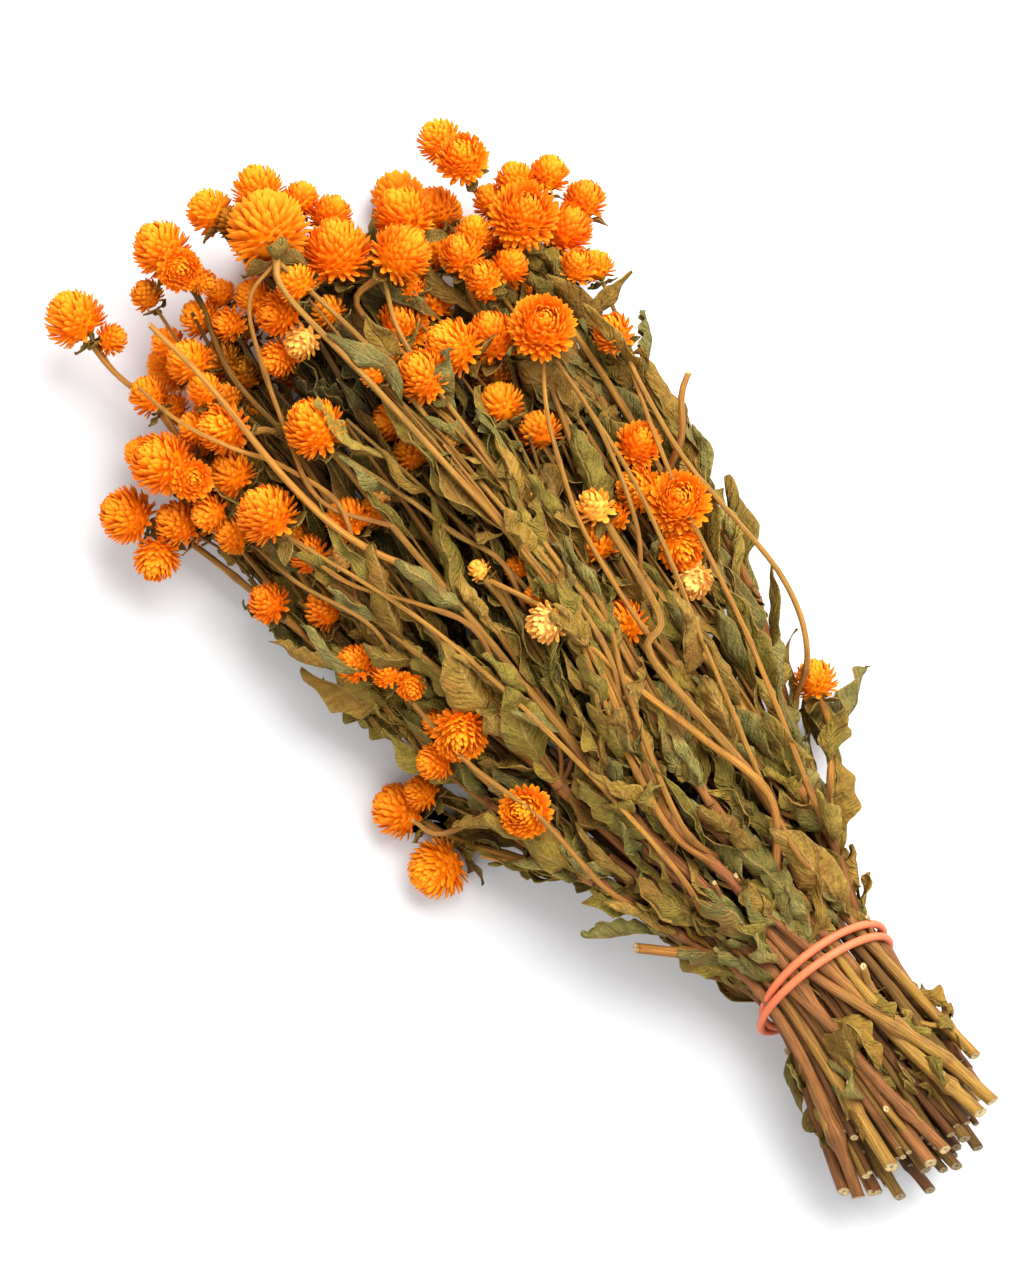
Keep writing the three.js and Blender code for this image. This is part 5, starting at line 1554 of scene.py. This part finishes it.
def makeBand():
    piece = Piece("rubber")
    part = Part(piece)
    bm = part.bm
    spans, sides = bandLook["spans"], bandLook["sides"]
    made = bmesh.ops.create_grid(bm, x_segments=sides, y_segments=spans, size=0.5)["verts"]
    for v in made:
        around, turn = (v.co.x + 0.5) * 2 * math.pi, (v.co.y + 0.5) * 4 * math.pi
        angle = turn + band["crossing"]
        out = Vector((0, math.cos(angle), math.sin(angle)))
        lift = band["lift"] * math.sin(turn / 2)
        centre = Vector((
            band["along"] + band["lean"] * out.z + band["spread"] * math.cos(turn / 2),
            band["across"] + (band["halfWidth"] + lift) * out.y,
            band["height"] + (band["halfHeight"] + lift) * out.z,
        ))
        thick = bandLook["radius"] * (1 + 0.06 * noise.noise(centre * 0.12))
        v.co = centre + out * (thick * math.cos(around)) + Vector((1, 0, 0)) * (thick * math.sin(around))
    bmesh.ops.remove_doubles(bm, verts=made, dist=0.001)
    part.done("rubber")
    piece.finish("tied_band", "rubber_band", "rubber_band")


makeBand()
print("band made")

stage = {
    "floor": 3.0,
    "floorColour": (0.7, 0.7, 0.705, 1),
    "middle": (0.1751, 0.0165, 0.0),
    "cameraHeight": 1.55,
    "viewHeight": 0.457,
    "lookAt": 0.04,
    "film": 36,
    "sky": 0.8,
    "key": {"size": 1.4, "power": 66, "from": (0.35, -1.0, 1.3)},
    "fill": {"size": 1.6, "power": 9, "from": (-0.6, 1.1, 1.4)},
}


def makeStage():
    bm = bmesh.new()
    bmesh.ops.create_grid(bm, x_segments=1, y_segments=1, size=stage["floor"])
    mesh = bpy.data.meshes.new("paleFloor")
    bm.to_mesh(mesh)
    bm.free()
    floor = bpy.data.objects.new("paleFloor", mesh)
    bpy.context.scene.collection.objects.link(floor)
    paper = Finish("palePaper", roughness=0.8, specular_ior_level=0.1)
    paper.surface.inputs["Base Color"].default_value = stage["floorColour"]
    mesh.materials.append(paper.material)

    world = bpy.data.worlds.new("softRoom")
    world.use_nodes = True
    sky = world.node_tree.nodes["Background"]
    sky.inputs["Color"].default_value = (1, 1, 1, 1)
    sky.inputs["Strength"].default_value = stage["sky"]
    bpy.context.scene.world = world
    middle = Vector(stage["middle"])
    for name in ("key", "fill"):
        look = stage[name]
        light = bpy.data.lights.new(name, "AREA")
        light.size, light.energy = look["size"], look["power"]
        lamp = bpy.data.objects.new(name, light)
        lamp.location = middle + Vector(look["from"])
        lamp.rotation_euler = Vector(look["from"]).to_track_quat("Z", "Y").to_euler()
        bpy.context.scene.collection.objects.link(lamp)

    # Straight down, with the cut ends at the lower right of the picture.
    data = bpy.data.cameras.new("camera")
    data.sensor_fit = "VERTICAL"
    data.sensor_height = stage["film"]
    data.lens = stage["film"] * (stage["cameraHeight"] - stage["lookAt"]) / stage["viewHeight"]
    camera = bpy.data.objects.new("camera", data)
    right, up = Vector((-0.6, -0.8, 0)), Vector((0.8, -0.6, 0))
    turned = Matrix((right, up, right.cross(up))).transposed().to_4x4()
    camera.matrix_world = Matrix.Translation(middle + Vector((0, 0, stage["cameraHeight"]))) @ turned
    bpy.context.scene.collection.objects.link(camera)
    bpy.context.scene.camera = camera
    bpy.context.scene.view_settings.view_transform = "Standard"


makeStage()
